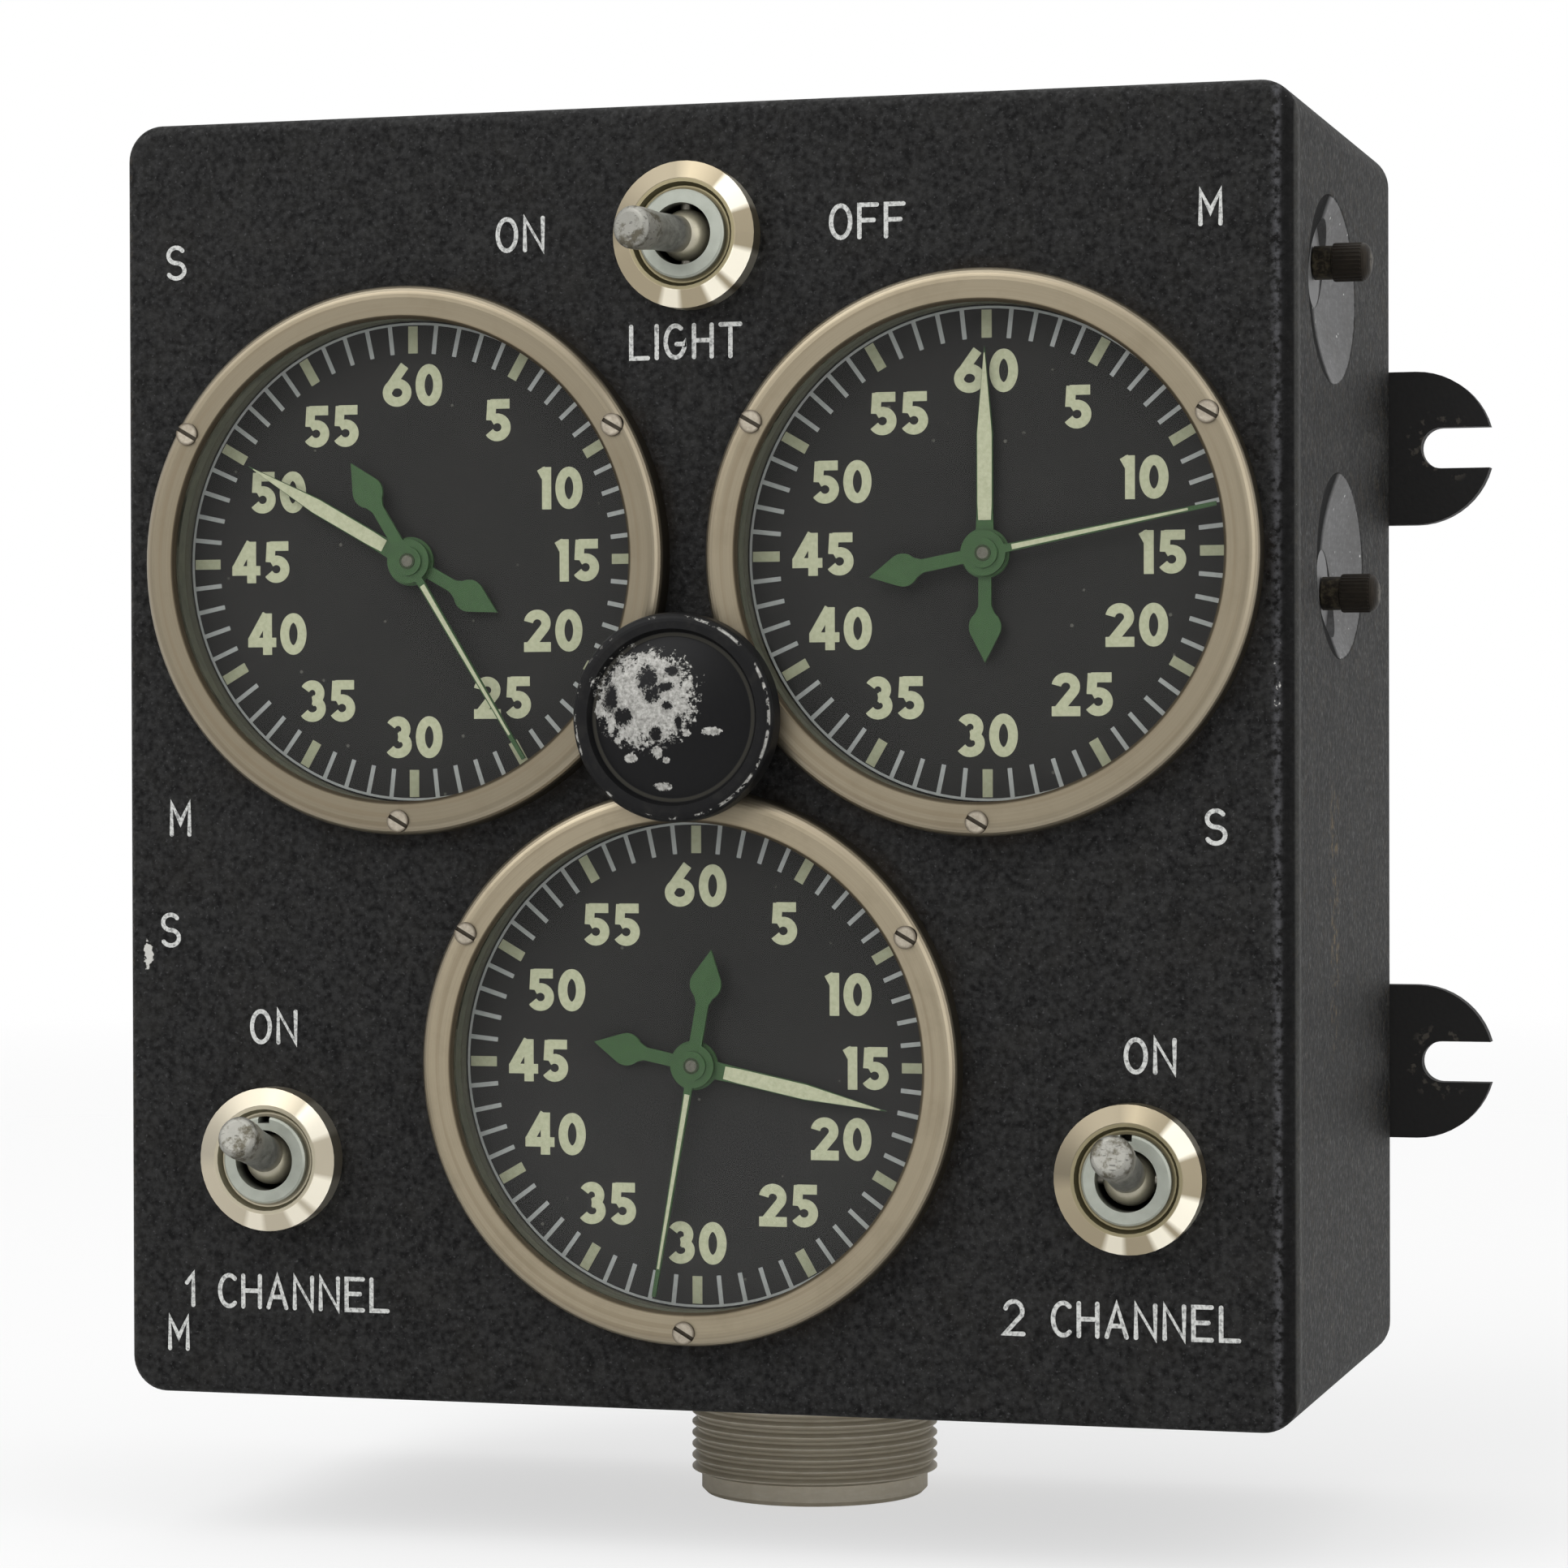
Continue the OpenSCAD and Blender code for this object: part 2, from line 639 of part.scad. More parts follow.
// The plate lies behind the panel, and its face rises into the opening
dial_play = 0.15;
module dial_plate() {
  color([0.11, 0.11, 0.10]) difference() {
    union() {
      rod_y(panel_back_y, dial_back_y, dial_r, $fn = 128);
      rod_y(dial_face_y, dial_back_y, opening_r - dial_play, $fn = 128);
    }
    rod_y(dial_face_y - cut, dial_back_y + cut, pipe_d / 2 + 0.8);
  }
}

module bezel_screws() {
  color([0.70, 0.67, 0.60]) for (d = dials) at(d) bezel_screw_places() difference() {
    union() {
      rod_y(front_y - bezel_t + head_sink - head_t, front_y - bezel_t + head_sink, bezel_head_d / 2);
      rod_y(front_y - bezel_t, panel_back_y - 0.2, bezel_screw_d / 2);
    }
    rotate([0, 30, 0]) translate([-3, front_y - bezel_t + head_sink - head_t - cut, -0.25])
      cube([6, cut + 0.4, 0.5]);
  }
}

module ears(angles) {
  for (a = angles) at(polar(ear_r, a)) children();
}
module frame_screw_places() {
  at(left_dial) ears(ear_angles) children();
  at(right_dial) ears(ear_angles) children();
  at(lower_dial) ears(low_ear_angles) children();
}

// Radial bar of a frame plate, from the middle to a point
module arm_2d(p) {
  arm_w = 1.7 * ear_pad_r;
  rotate(atan2(p[1], p[0])) translate([0, -arm_w / 2]) square([norm2(p), arm_w]);
  translate(p) circle(r = ear_pad_r);
}

frame_plate_r = dial_r - 1.8;
motor_r = 18;
rear_plate_r = motor_r + 2;
// Two plates joined by pillars, which the long screws clamp to the panel
module movement_frame(angles, transfers) {
  difference() {
    union() {
      plate_y(dial_back_y, dial_back_y + frame_t) {
        circle(r = frame_plate_r);
        for (a = angles) arm_2d(polar(ear_r, a));
        for (t = transfers) arm_2d(t);
      }
      plate_y(frame_back_y - frame_t, frame_back_y) {
        circle(r = rear_plate_r);
        for (a = angles) arm_2d(polar(ear_r, a));
        for (t = transfers) arm_2d(t);
      }
      ears(angles) rod_y(panel_back_y, frame_back_y - frame_t / 2, pillar_r);
    }
    ears(angles) {
      rod_y(panel_back_y - cut, frame_back_y + cut, frame_screw_d / 2);
    }
    rod_y(dial_back_y - cut, dial_back_y + frame_t + cut, pipe_d / 2 + run_gap);
    rod_y(frame_back_y - frame_t - cut, frame_back_y + cut, arbor_d / 2 + run_gap);
    for (t = transfers) at(t) {
      rod_y(dial_back_y - cut, dial_back_y + frame_t + cut, transfer_d / 2 + run_gap);
      rod_y(frame_back_y - frame_t - cut, frame_back_y + cut, transfer_d / 2 + run_gap);
    }
  }
}

motor_len = trunk_y - motor_gap - frame_back_y;
// Stepping drive with its slipping clutch, screwed behind a movement frame
module drive_motor(angles) {
  color([0.55, 0.56, 0.58]) difference() {
    union() {
      rod_y(frame_back_y, frame_back_y + motor_len, motor_r);
      rod_y(frame_back_y + motor_len - 0.01, frame_back_y + motor_len + 2, 6);
    }
    rod_y(frame_back_y - cut, frame_back_y + 5, arbor_d / 2 + run_gap);
    for (a = [0:60:300]) at(polar(motor_r, a)) rod_y(frame_back_y + 2, frame_back_y + motor_len + cut, 1.2);
  }
  // heads of the long screws that clamp frame and pillars
  color([0.62, 0.60, 0.56]) ears(angles) {
    rod_y(frame_back_y, frame_back_y + 2.4, 2.75);
    rod_y(panel_back_y - frame_screw_bite + 0.1, frame_back_y + 0.01, frame_screw_d / 2);
  }
}

// the lever's ball sits just inside the bushing's mouth
ball_in = 2.8;
ball_gap = 0.55;
bushing_edge = 0.25;
pivot_y = front_y - bushing_reach + ball_in;
pin_r = 0.8;
lever_bore_depth = 12;
switch_cavity_y = front_y + lever_bore_depth;
keyway_w = 1.5;
keyway_deep = 0.8;
keyway_stop = 1;
// The lever swings in the plane of the body's long side, which is X here. The
// bushing has a keyway on the side the lever rests on
module switch_body() {
  ro = bushing_d / 2;
  color([0.20, 0.13, 0.10]) difference() {
    union() {
      translate([-switch_l / 2, panel_back_y, -switch_w / 2])
        cube([switch_l, switch_depth, switch_w]);
      for (x = [-7, 0, 7]) translate([x - 1.5, panel_back_y + switch_depth - 0.01, -0.4])
        cube([3, 4, 0.8]);
      translate([0, front_y, 0]) rotate([90, 0, 0]) rotate_extrude() polygon([
        [0, -panel_t - 0.01], [ro, -panel_t - 0.01], [ro, bushing_reach - bushing_edge],
        [ro - bushing_edge, bushing_reach], [0, bushing_reach]]);
    }
    rod_y(front_y - bushing_reach - cut, switch_cavity_y, bushing_bore / 2);
    translate([-ro - cut, front_y - bushing_reach - cut, -keyway_w / 2])
      cube([keyway_deep + cut, bushing_reach - keyway_stop + cut, keyway_w]);
    translate([0, pivot_y, 0]) rod_z(-bushing_d, bushing_d, pin_r);
  }
}

module switch_place(which) {
  if (which == 0) translate([0, 0, top_switch_z]) children();
  if (which != 0) translate([which * low_switch_x, 0, low_switch_z]) rotate([0, 90, 0]) children();
}

nut_bevel_w = 2.1;
nut_bevel_h = 0.8;
nut_land = 0.5;
nut_cove = 0.8;
// Round nut with a wide bevel outside and a coved mouth round the bushing
module dress_nut() {
  ro = nut_d / 2;
  ri = bushing_d / 2;
  translate([0, front_y, 0]) rotate([90, 0, 0]) rotate_extrude($fn = 96) polygon([
    [ri, 0], [ro, 0], [ro, nut_t - nut_bevel_h], [ro - nut_bevel_w, nut_t],
    [ro - nut_bevel_w - nut_land, nut_t], [ri + nut_land, nut_t - nut_cove], [ri, nut_t - nut_cove]]);
}

module switch_dress_nuts() {
  color([0.80, 0.77, 0.68]) for (w = [0, -1, 1]) switch_place(w) dress_nut();
}

module switch_pivot_pins() {
  color([0.60, 0.60, 0.60]) for (w = [0, -1, 1]) switch_place(w)
    translate([0, pivot_y, 0]) rod_z(-bushing_d / 2 + 0.3, bushing_d / 2 - 0.3, pin_r);
}

lever_ball_r = bushing_bore / 2 - ball_gap;
lever_tail = 7;
// Lever drawn along +Z, then laid towards -Y and tilted to -X
module switch_lever() {
  rn = lever_neck_d / 2;
  rt = lever_tip_d / 2;
  color([0.72, 0.71, 0.68]) translate([0, pivot_y, 0]) rotate([0, 0, -lever_tilt]) rotate([90, 0, 0])
  difference() {
    union() {
      sphere(r = lever_ball_r);
      rotate_extrude() polygon(concat(
        [[0, -lever_tail], [1, -lever_tail], [1.25, -lever_tail + 0.5], [1.25, 0], [rn, 1],
         [rn, lever_len * 0.55], [rt, lever_len * 0.82]],
        arc([rt - 0.8, lever_len - 0.8], 0.8, 0, 90, 5),
        [[0, lever_len]]));
    }
    rotate([-90, 0, 0]) rod_z(-6, 6, pin_r + run_gap);
  }
}

sleeve_r = holder_bore / 2 - run_gap;
sleeve_bore_r = sleeve_r - 0.8;
sleeve_len = 7;
cap_back_y = front_y - cap_gap;
window_angle = 60;
window_angles = [30, 150, 270];
window_w = 5;
holder_front_y = cap_back_y + 0.3;
// Dished black cap on a sleeve whose three windows dim the lamp
module lamp_cap() {
  rc = cap_d / 2;
  groove_r = rc - 3;
  color([0.05, 0.05, 0.05]) at([0, lamp_z]) difference() {
    union() {
      translate([0, cap_back_y, 0]) rotate([90, 0, 0]) rotate_extrude($fn = 96) polygon(concat(
        [[0, 0], [rc - 0.6, 0], [rc, 0.6]],
        arc([rc - 1.1, cap_t - 1.1], 1.1, 0, 90, 5),
        [[groove_r + 1, cap_t], [groove_r + 0.6, cap_t - 0.9], [groove_r, cap_t - 0.9]],
        [for (i = [1:10]) [groove_r * (1 - i / 10), cap_t - 0.9 + 1.5 * (1 - pow(1 - i / 10, 2))]]));
      rod_y(cap_back_y - 0.01, cap_back_y + sleeve_len, sleeve_r);
    }
    rod_y(cap_back_y + 0.2, cap_back_y + sleeve_len + cut, sleeve_bore_r);
    for (a = window_angles) rotate([0, -a, 0])
      translate([0, cap_back_y + 0.8, -window_w / 2]) cube([10, 3, window_w]);
  }
}

holder_depth = 20;
holder_back_y = front_y + holder_depth;
module lamp_holder() {
  color([0.60, 0.58, 0.52]) at([0, lamp_z]) difference() {
    union() {
      rod_y(holder_front_y, holder_back_y, holder_d / 2);
      plate_y(panel_back_y, panel_back_y + 3) circle(r = holder_d / 2 + 1.2, $fn = 6);
    }
    rod_y(holder_front_y - cut, holder_back_y - 3, holder_bore / 2);
    rod_y(holder_back_y - 3 - cut, holder_back_y + cut, 1.5);
    for (a = window_angles) rotate([0, -a, 0])
      translate([0, cap_back_y + 0.8, -window_w / 2]) cube([10, 2.8, window_w]);
  }
}

module lamp_bulb() {
  bulb_r = 3.4;
  base_y = holder_back_y - 3 - 7;
  color([0.95, 0.92, 0.82]) at([0, lamp_z]) {
    translate([0, base_y, 0]) rotate([90, 0, 0]) rotate_extrude() polygon(concat(
      [[0, -7], [4.2, -7], [4.2, 0], [2.6, 0.6], [bulb_r, 2.5]], arc([0, 5.0], bulb_r, 0, 90, 8)));
  }
}

// Thread drawn as rings, then a plain nose
plug_top_z = bottom_z + wall_t + plug_flange_t;
module connector_shell() {
  r = plug_d / 2;
  thread_h = 0.75;
  thread_end = bottom_z - plug_thread_len;
  turns = floor((plug_thread_len - 0.3) / plug_pitch);
  thread_top = thread_end + plug_pitch * turns;
  nose_z = thread_end - nose_len;
  color([0.55, 0.50, 0.42]) at_plug() difference() {
    union() {
      rotate_extrude($fn = 96) polygon(concat(
        [[plug_bore / 2, plug_top_z], [plug_flange_r, plug_top_z],
         [plug_flange_r, bottom_z + wall_t], [r - 0.2, bottom_z + wall_t], [r - 0.2, thread_top]],
        [for (i = [0:turns - 1], p = [[r - thread_h, 0.4], [r - thread_h, 0.6], [r, 0.9], [r, 1]])
          [p[0], thread_top - plug_pitch * (i + p[1])]],
        [[nose_d / 2, thread_end - 0.5],
         [nose_d / 2, nose_z + 0.6], [nose_d / 2 - 0.6, nose_z], [plug_bore / 2 + 0.4, nose_z],
         [plug_bore / 2, nose_z + 0.4]]));
    }
    plug_screw_places() rod_z(bottom_z, plug_top_z + cut, plug_screw_d / 2);
    for (s = [0, 1]) rotate(180 * s) translate([-plug_flange_r, plug_flat, bottom_z + wall_t])
      cube([2 * plug_flange_r, plug_flange_r, plug_flange_t + cut]);
  }
}

insert_face_z = bottom_z - plug_thread_len - nose_len + socket_depth;
insert_top_z = plug_top_z + 2;
contact_reach = 4.5;
contact_places = concat([[0, 0]], [for (i = [0:5]) polar(4.6, 60 * i)],
                        [for (i = [0:11]) polar(9.4, 30 * i + 15)]);
module connector_insert() {
  color([0.16, 0.10, 0.08]) at_plug() difference() {
    rod_z(insert_face_z, insert_top_z, plug_bore / 2 - 0.05);
    for (p = contact_places) translate([p[0], p[1], 0])
      rod_z(insert_face_z - cut, insert_top_z + cut, contact_d / 2);
    translate([-1.5, plug_bore / 2 - 1.2, insert_face_z - cut]) cube([3, 3, 5]);
  }
}

module connector_contacts() {
  color([0.80, 0.66, 0.35]) at_plug() for (p = contact_places) translate([p[0], p[1], 0]) {
    rod_z(insert_face_z - contact_reach, insert_top_z + 3, contact_d / 2);
    translate([0, 0, insert_face_z - contact_reach]) sphere(r = contact_d / 2);
  }
}

module connector_screws() {
  color([0.62, 0.60, 0.56]) at_plug() plug_screw_places() {
    rod_z(bottom_z + 0.2, plug_top_z + 0.01, plug_screw_d / 2);
    rod_z(plug_top_z, plug_top_z + 1.4, plug_screw_d * 0.9);
  }
}

board_w = 70;
board_l = 24;
board_t = 2;
board_y = -44;
terminal_x = [-28, -20, -12, -4, 4, 12, 20, 28];
module terminal_board() {
  color([0.45, 0.27, 0.12]) {
    translate([-board_w / 2, board_y, inner_z - board_t]) cube([board_w, board_l, board_t]);
    for (x = terminal_x) translate([x, board_y + board_l / 2, 0])
      rod_z(inner_z - board_t - 3, inner_z - board_t + 0.01, 2.2);
  }
}

wire_r = 0.9;
trunk_r = 2.2;
module wire(points, r) {
  for (i = [0:len(points) - 2]) {
    d = points[i + 1] - points[i];
    translate(points[i]) {
      sphere(r = r, $fn = 24);
      if (abs(d[0]) > 0) mirror([d[0] < 0 ? 1 : 0, 0, 0]) rod_x(0, abs(d[0]), r, $fn = 24);
      if (abs(d[1]) > 0) mirror([0, d[1] < 0 ? 1 : 0, 0]) rod_y(0, abs(d[1]), r, $fn = 24);
      if (abs(d[2]) > 0) mirror([0, 0, d[2] < 0 ? 1 : 0]) rod_z(0, abs(d[2]), r, $fn = 24);
    }
  }
}

switch_end_y = panel_back_y + switch_depth + 4;
motor_end_y = frame_back_y + motor_len + 2;
module wiring_harness() {
  top_z = inner_z - board_t - 3;
  feed_y = board_y + board_l / 2;
  feed_x = 12;
  drop = 5;
  color([0.35, 0.08, 0.07]) {
    wire([[0, trunk_y, insert_top_z + drop], [0, trunk_y, top_z - drop]], trunk_r);
    wire([[0, trunk_y, insert_top_z + 5.2], [0, -plug_depth, insert_top_z + 5.2],
          [0, -plug_depth, insert_top_z + 3.1]], wire_r);
    for (s = [-1, 1]) {
      wire([[0, trunk_y, dial_z], [s * dial_x, trunk_y, dial_z]], wire_r);
      wire([[s * dial_x, trunk_y, dial_z], [s * dial_x, motor_end_y + 0.1, dial_z]], wire_r);
      wire([[0, trunk_y, low_switch_z], [s * low_switch_x, trunk_y, low_switch_z],
            [s * low_switch_x, switch_end_y + 0.1, low_switch_z]], wire_r);
      wire([[0, trunk_y, top_z - drop], [s * feed_x, trunk_y, top_z - drop],
            [s * feed_x, feed_y, top_z - drop], [s * feed_x, feed_y, top_z - 0.1]], wire_r);
    }
    wire([[0, trunk_y, lamp_z], [0, holder_back_y + 0.1, lamp_z]], wire_r);
    wire([[0, trunk_y, low_dial_z], [0, motor_end_y + 0.1, low_dial_z]], wire_r);
    wire([[4, switch_end_y + 1.2, top_switch_z + 4], [4, feed_y, top_switch_z + 4], [4, feed_y, top_z - 0.1]],
         wire_r);
  }
}

// Steel shaft with a pinion at its inner end and a black crown outside the dish
module crown(c, inner_x_end) {
  head_x = case_w / 2 + 0.1;
  tip_x = case_w / 2 + crown_reach;
  rc = crown_d / 2;
  dome = 1.1;
  color([0.10, 0.09, 0.08]) at_crown(c) {
    translate([dish_floor_x + 0.2, 0, 0]) rotate([0, 90, 0]) rotate_extrude() polygon(concat(
      [[0, 0], [rc - 0.25, 0], [rc - 0.25, head_x - dish_floor_x - 0.2], [rc, head_x - dish_floor_x - 0.1]],
      [for (i = [0:6]) [rc * cos(i * 15), tip_x - dish_floor_x - 0.2 - dome + dome * sin(i * 15)]]));
    rod_x(inner_x_end, dish_floor_x + 0.3, crown_shaft_d / 2);
    translate([inner_x_end, 0, 0]) rotate([0, 90, 0]) linear_extrude(height = 4)
      toothed_disc(pinion_r, pinion_teeth, 0.6);
  }
}

module crown_bushes() {
  color([0.70, 0.68, 0.62]) for (c = crowns) at_crown(c) difference() {
    bush_shape();
    rod_x(dish_floor_x - bush_len - cut, dish_floor_x + cut, crown_shaft_d / 2 + run_gap);
  }
}

// Arbor between the two frame plates, with a contrate wheel and a spur wheel
module transfer_gear(wheel_y, spur_y, t, pair) {
  color([0.78, 0.62, 0.30]) {
    rod_y(dial_back_y + 0.4, frame_back_y - 0.2, transfer_d / 2);
    contrate_wheel(far_wheel_r, far_wheel_teeth, wheel_y, transfer_d / 2);
    spur_wheel(pair_m(t, pair), pair[0], spur_y, transfer_d / 2, transfer_phase(t, pair));
  }
}

near_pinion_x = 9;
far_pinion_x = 5.8;
pipe_end_y = minute_hand_y - 0.05;
second_tip_y = second_hand_y - 0.4;
second_tail_y = frame_back_y + 3;

// Pipe that carries the minute hand, with its own wheel pressed on
module minute_arbor(near, t, pair) {
  end_y = near ? minute_wheel_y + wheel_t : minute_spur_y + spur_t;
  color([0.78, 0.62, 0.30]) {
    difference() {
      rod_y(pipe_end_y, end_y, pipe_d / 2);
      rod_y(pipe_end_y - cut, end_y + cut, arbor_d / 2 + run_gap);
    }
    if (near) contrate_wheel(near_wheel_r, near_wheel_teeth, minute_wheel_y, pipe_d / 2);
    if (!near) spur_wheel(pair_m(t, pair), pair[1], minute_spur_y, pipe_d / 2, hand_phase(t));
  }
}

module second_arbor(near, t, pair) {
  color([0.66, 0.66, 0.67]) {
    rod_y(second_tip_y, second_tail_y, arbor_d / 2);
    if (near) contrate_wheel(near_wheel_r, near_wheel_teeth, second_wheel_y, arbor_d / 2);
    if (!near) spur_wheel(pair_m(t, pair), pair[1], second_spur_y, arbor_d / 2, hand_phase(t));
  }
}

// Leaf-shaped tail, pointing down from the hub: a neck, a round belly and a point
tail_neck_w = 1.6;
module tail(y, hub_r, len) {
  belly_r = tail_w / 2;
  belly_z = -len + 2 * belly_r + 0.3;
  lean = asin(belly_r / (len + belly_z));
  plate_y(y, y + hand_t) {
    polygon([[-tail_neck_w / 2, belly_z], [-tail_neck_w / 2, -hub_r * 0.8], [tail_neck_w / 2, -hub_r * 0.8],
             [tail_neck_w / 2, belly_z]]);
    polygon([[-tail_neck_w * 0.3, belly_z + belly_r + 1.2], [-belly_r * cos(lean), belly_z + belly_r * 0.2],
             [-belly_r * cos(lean), belly_z - belly_r * sin(lean)], [0, -len],
             [belly_r * cos(lean), belly_z - belly_r * sin(lean)],
             [belly_r * cos(lean), belly_z + belly_r * 0.2],
             [tail_neck_w * 0.3, belly_z + belly_r + 1.2]]);
  }
  translate([0, 0, belly_z]) rod_y(y, y + hand_t, belly_r);
}

module minute_hand(angle) {
  hub_r = minute_hub_d / 2;
  root = 1.1;
  color([0.16, 0.45, 0.18]) rotate([0, angle, 0]) difference() {
    union() {
      rod_y(minute_hand_y, minute_hand_y + hand_t, hub_r);
      tail(minute_hand_y, hub_r, minute_tail_len);
      plate_y(minute_hand_y, minute_hand_y + hand_t)
        polygon([[-root, hub_r * 0.8], [-minute_w / 2, minute_len * 0.2], [-minute_w / 2, minute_len * 0.58],
                 [0, minute_len], [minute_w / 2, minute_len * 0.58], [minute_w / 2, minute_len * 0.2],
                 [root, hub_r * 0.8]]);
    }
    rod_y(minute_hand_y - cut, minute_hand_y + hand_t + cut, pipe_d / 2);
  }
}

collar_r = 1.8;
collar_t = 0.3;
module second_hand(angle) {
  hub_r = second_hub_d / 2;
  tip_w = 0.25;
  color([0.16, 0.45, 0.18]) rotate([0, angle, 0]) difference() {
    union() {
      rod_y(second_hand_y, second_hand_y + hand_t, hub_r);
      rod_y(second_hand_y - collar_t, second_hand_y + hand_t / 2, collar_r);
      tail(second_hand_y, hub_r, tail_len);
      plate_y(second_hand_y, second_hand_y + hand_t)
        polygon([[-second_w / 2, hub_r * 0.8], [-tip_w, second_len], [tip_w, second_len],
                 [second_w / 2, hub_r * 0.8]]);
    }
    rod_y(second_hand_y - cut, second_hand_y + hand_t + cut, arbor_d / 2);
  }
}

left_transfer = [-upper_transfer[0], upper_transfer[1]];

front_housing();
back_cover();
rear_screws();
mounting_straps();
at(left_dial) bezel();  // left_bezel
at(right_dial) bezel();  // right_bezel
at(lower_dial) bezel();  // lower_bezel
dial_glasses();
glass_gaskets();
at(left_dial) dial_plate();  // left_dial_plate
at(right_dial) dial_plate();  // right_dial_plate
at(lower_dial) dial_plate();  // lower_dial_plate
bezel_screws();
at(left_dial) color([0.68, 0.60, 0.40]) movement_frame(ear_angles, [left_transfer]);  // left_movement_frame
at(right_dial) color([0.68, 0.60, 0.40]) movement_frame(ear_angles, [upper_transfer]);  // right_movement_frame
at(lower_dial) color([0.68, 0.60, 0.40])  // lower_movement_frame
    movement_frame(low_ear_angles, [low_minute_transfer, low_second_transfer]);
at(left_dial) drive_motor(ear_angles);  // left_drive_motor
at(right_dial) drive_motor(ear_angles);  // right_drive_motor
at(lower_dial) drive_motor(low_ear_angles);  // lower_drive_motor
switch_place(0) switch_body();  // top_switch_body
switch_place(-1) switch_body();  // left_switch_body
switch_place(1) switch_body();  // right_switch_body
switch_dress_nuts();
switch_pivot_pins();
switch_place(0) switch_lever();  // top_switch_lever
switch_place(-1) switch_lever();  // left_switch_lever
switch_place(1) switch_lever();  // right_switch_lever
lamp_cap();
lamp_holder();
lamp_bulb();
connector_shell();
connector_insert();
connector_contacts();
connector_screws();
terminal_board();
wiring_harness();
crown_bushes();
crown(crowns[0], dial_x + upper_transfer[0] + far_pinion_x);  // right_minute_crown
crown(crowns[1], dial_x + near_pinion_x);  // right_second_crown
crown(crowns[2], dial_x + upper_transfer[0] + far_pinion_x);  // left_second_crown
crown(crowns[3], dial_x + near_pinion_x);  // left_minute_crown
crown(crowns[4], -low_second_transfer[0] + far_pinion_x);  // lower_second_crown
crown(crowns[5], -low_minute_transfer[0] + far_pinion_x);  // lower_minute_crown
at(right_dial + upper_transfer) transfer_gear(minute_wheel_y, minute_spur_y, upper_transfer, upper_pair);  // right_transfer_gear
at(left_dial + left_transfer) transfer_gear(second_wheel_y, second_spur_y, left_transfer, upper_pair);  // left_transfer_gear
at(lower_dial + low_minute_transfer)  // lower_minute_transfer_gear
    transfer_gear(minute_wheel_y, minute_spur_y, low_minute_transfer, low_minute_pair);
at(lower_dial + low_second_transfer)  // lower_second_transfer_gear
    transfer_gear(second_wheel_y, second_spur_y, low_second_transfer, low_second_pair);
at(left_dial) minute_arbor(true, left_transfer, upper_pair);  // left_minute_arbor
at(right_dial) minute_arbor(false, upper_transfer, upper_pair);  // right_minute_arbor
at(lower_dial) minute_arbor(false, low_minute_transfer, low_minute_pair);  // lower_minute_arbor
at(left_dial) second_arbor(false, left_transfer, upper_pair);  // left_second_arbor
at(right_dial) second_arbor(true, upper_transfer, upper_pair);  // right_second_arbor
at(lower_dial) second_arbor(false, low_second_transfer, low_second_pair);  // lower_second_arbor
at(left_dial) minute_hand(minute_angles[0]);  // left_minute_hand
at(right_dial) minute_hand(minute_angles[1]);  // right_minute_hand
at(lower_dial) minute_hand(minute_angles[2]);  // lower_minute_hand
at(left_dial) second_hand(second_angles[0]);  // left_second_hand
at(right_dial) second_hand(second_angles[1]);  // right_second_hand
at(lower_dial) second_hand(second_angles[2]);  // lower_second_hand
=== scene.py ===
import math

import bmesh
import bpy
from mathutils import Matrix, Vector


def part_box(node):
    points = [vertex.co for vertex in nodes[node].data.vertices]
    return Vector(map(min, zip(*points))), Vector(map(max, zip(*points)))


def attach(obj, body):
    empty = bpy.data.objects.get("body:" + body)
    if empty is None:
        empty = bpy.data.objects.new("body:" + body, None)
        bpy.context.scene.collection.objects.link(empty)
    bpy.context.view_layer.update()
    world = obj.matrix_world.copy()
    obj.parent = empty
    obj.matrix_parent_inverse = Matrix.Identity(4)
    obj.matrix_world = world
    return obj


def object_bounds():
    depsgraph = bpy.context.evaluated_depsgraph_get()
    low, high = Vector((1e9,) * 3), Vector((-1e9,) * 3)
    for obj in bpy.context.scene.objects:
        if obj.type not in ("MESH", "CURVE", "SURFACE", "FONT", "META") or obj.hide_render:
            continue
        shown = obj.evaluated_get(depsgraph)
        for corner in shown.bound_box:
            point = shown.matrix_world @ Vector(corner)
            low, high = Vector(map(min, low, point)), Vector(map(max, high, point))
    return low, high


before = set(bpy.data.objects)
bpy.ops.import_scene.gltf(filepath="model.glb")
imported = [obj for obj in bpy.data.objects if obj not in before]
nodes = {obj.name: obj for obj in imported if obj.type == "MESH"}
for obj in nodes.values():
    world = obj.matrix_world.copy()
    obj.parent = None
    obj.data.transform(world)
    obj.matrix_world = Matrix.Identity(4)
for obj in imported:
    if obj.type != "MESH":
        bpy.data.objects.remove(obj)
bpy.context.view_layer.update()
MM = 0.001

# Camera. A 105 mm lens about 0.65 m in front of the timer and a little to its right,
# level with the dials, as the timer was photographed.
picture_px = 1932
focal_px = 5635.077
sensor_mm = 36.0
turn, tip, lean = 0.276072, 0.0087968, -0.00277053
object_in_camera = Vector((10.71015, -3.90733, 639.8037)) * MM
level = Matrix(((1, 0, 0), (0, 0, -1), (0, 1, 0)))
turned = Matrix.Rotation(-turn, 3, "Z")
tipped = Matrix.Rotation(tip, 3, "X")
leaned = Matrix.Rotation(lean, 3, "Z")
to_camera = leaned @ tipped @ level @ turned
seat = -(to_camera.transposed() @ object_in_camera)
camera_data = bpy.data.cameras.new("camera")
camera_data.sensor_width = sensor_mm
camera_data.lens = focal_px / picture_px * sensor_mm
camera_data.clip_start = 0.01
camera = bpy.data.objects.new("camera", camera_data)
across, down, ahead = to_camera
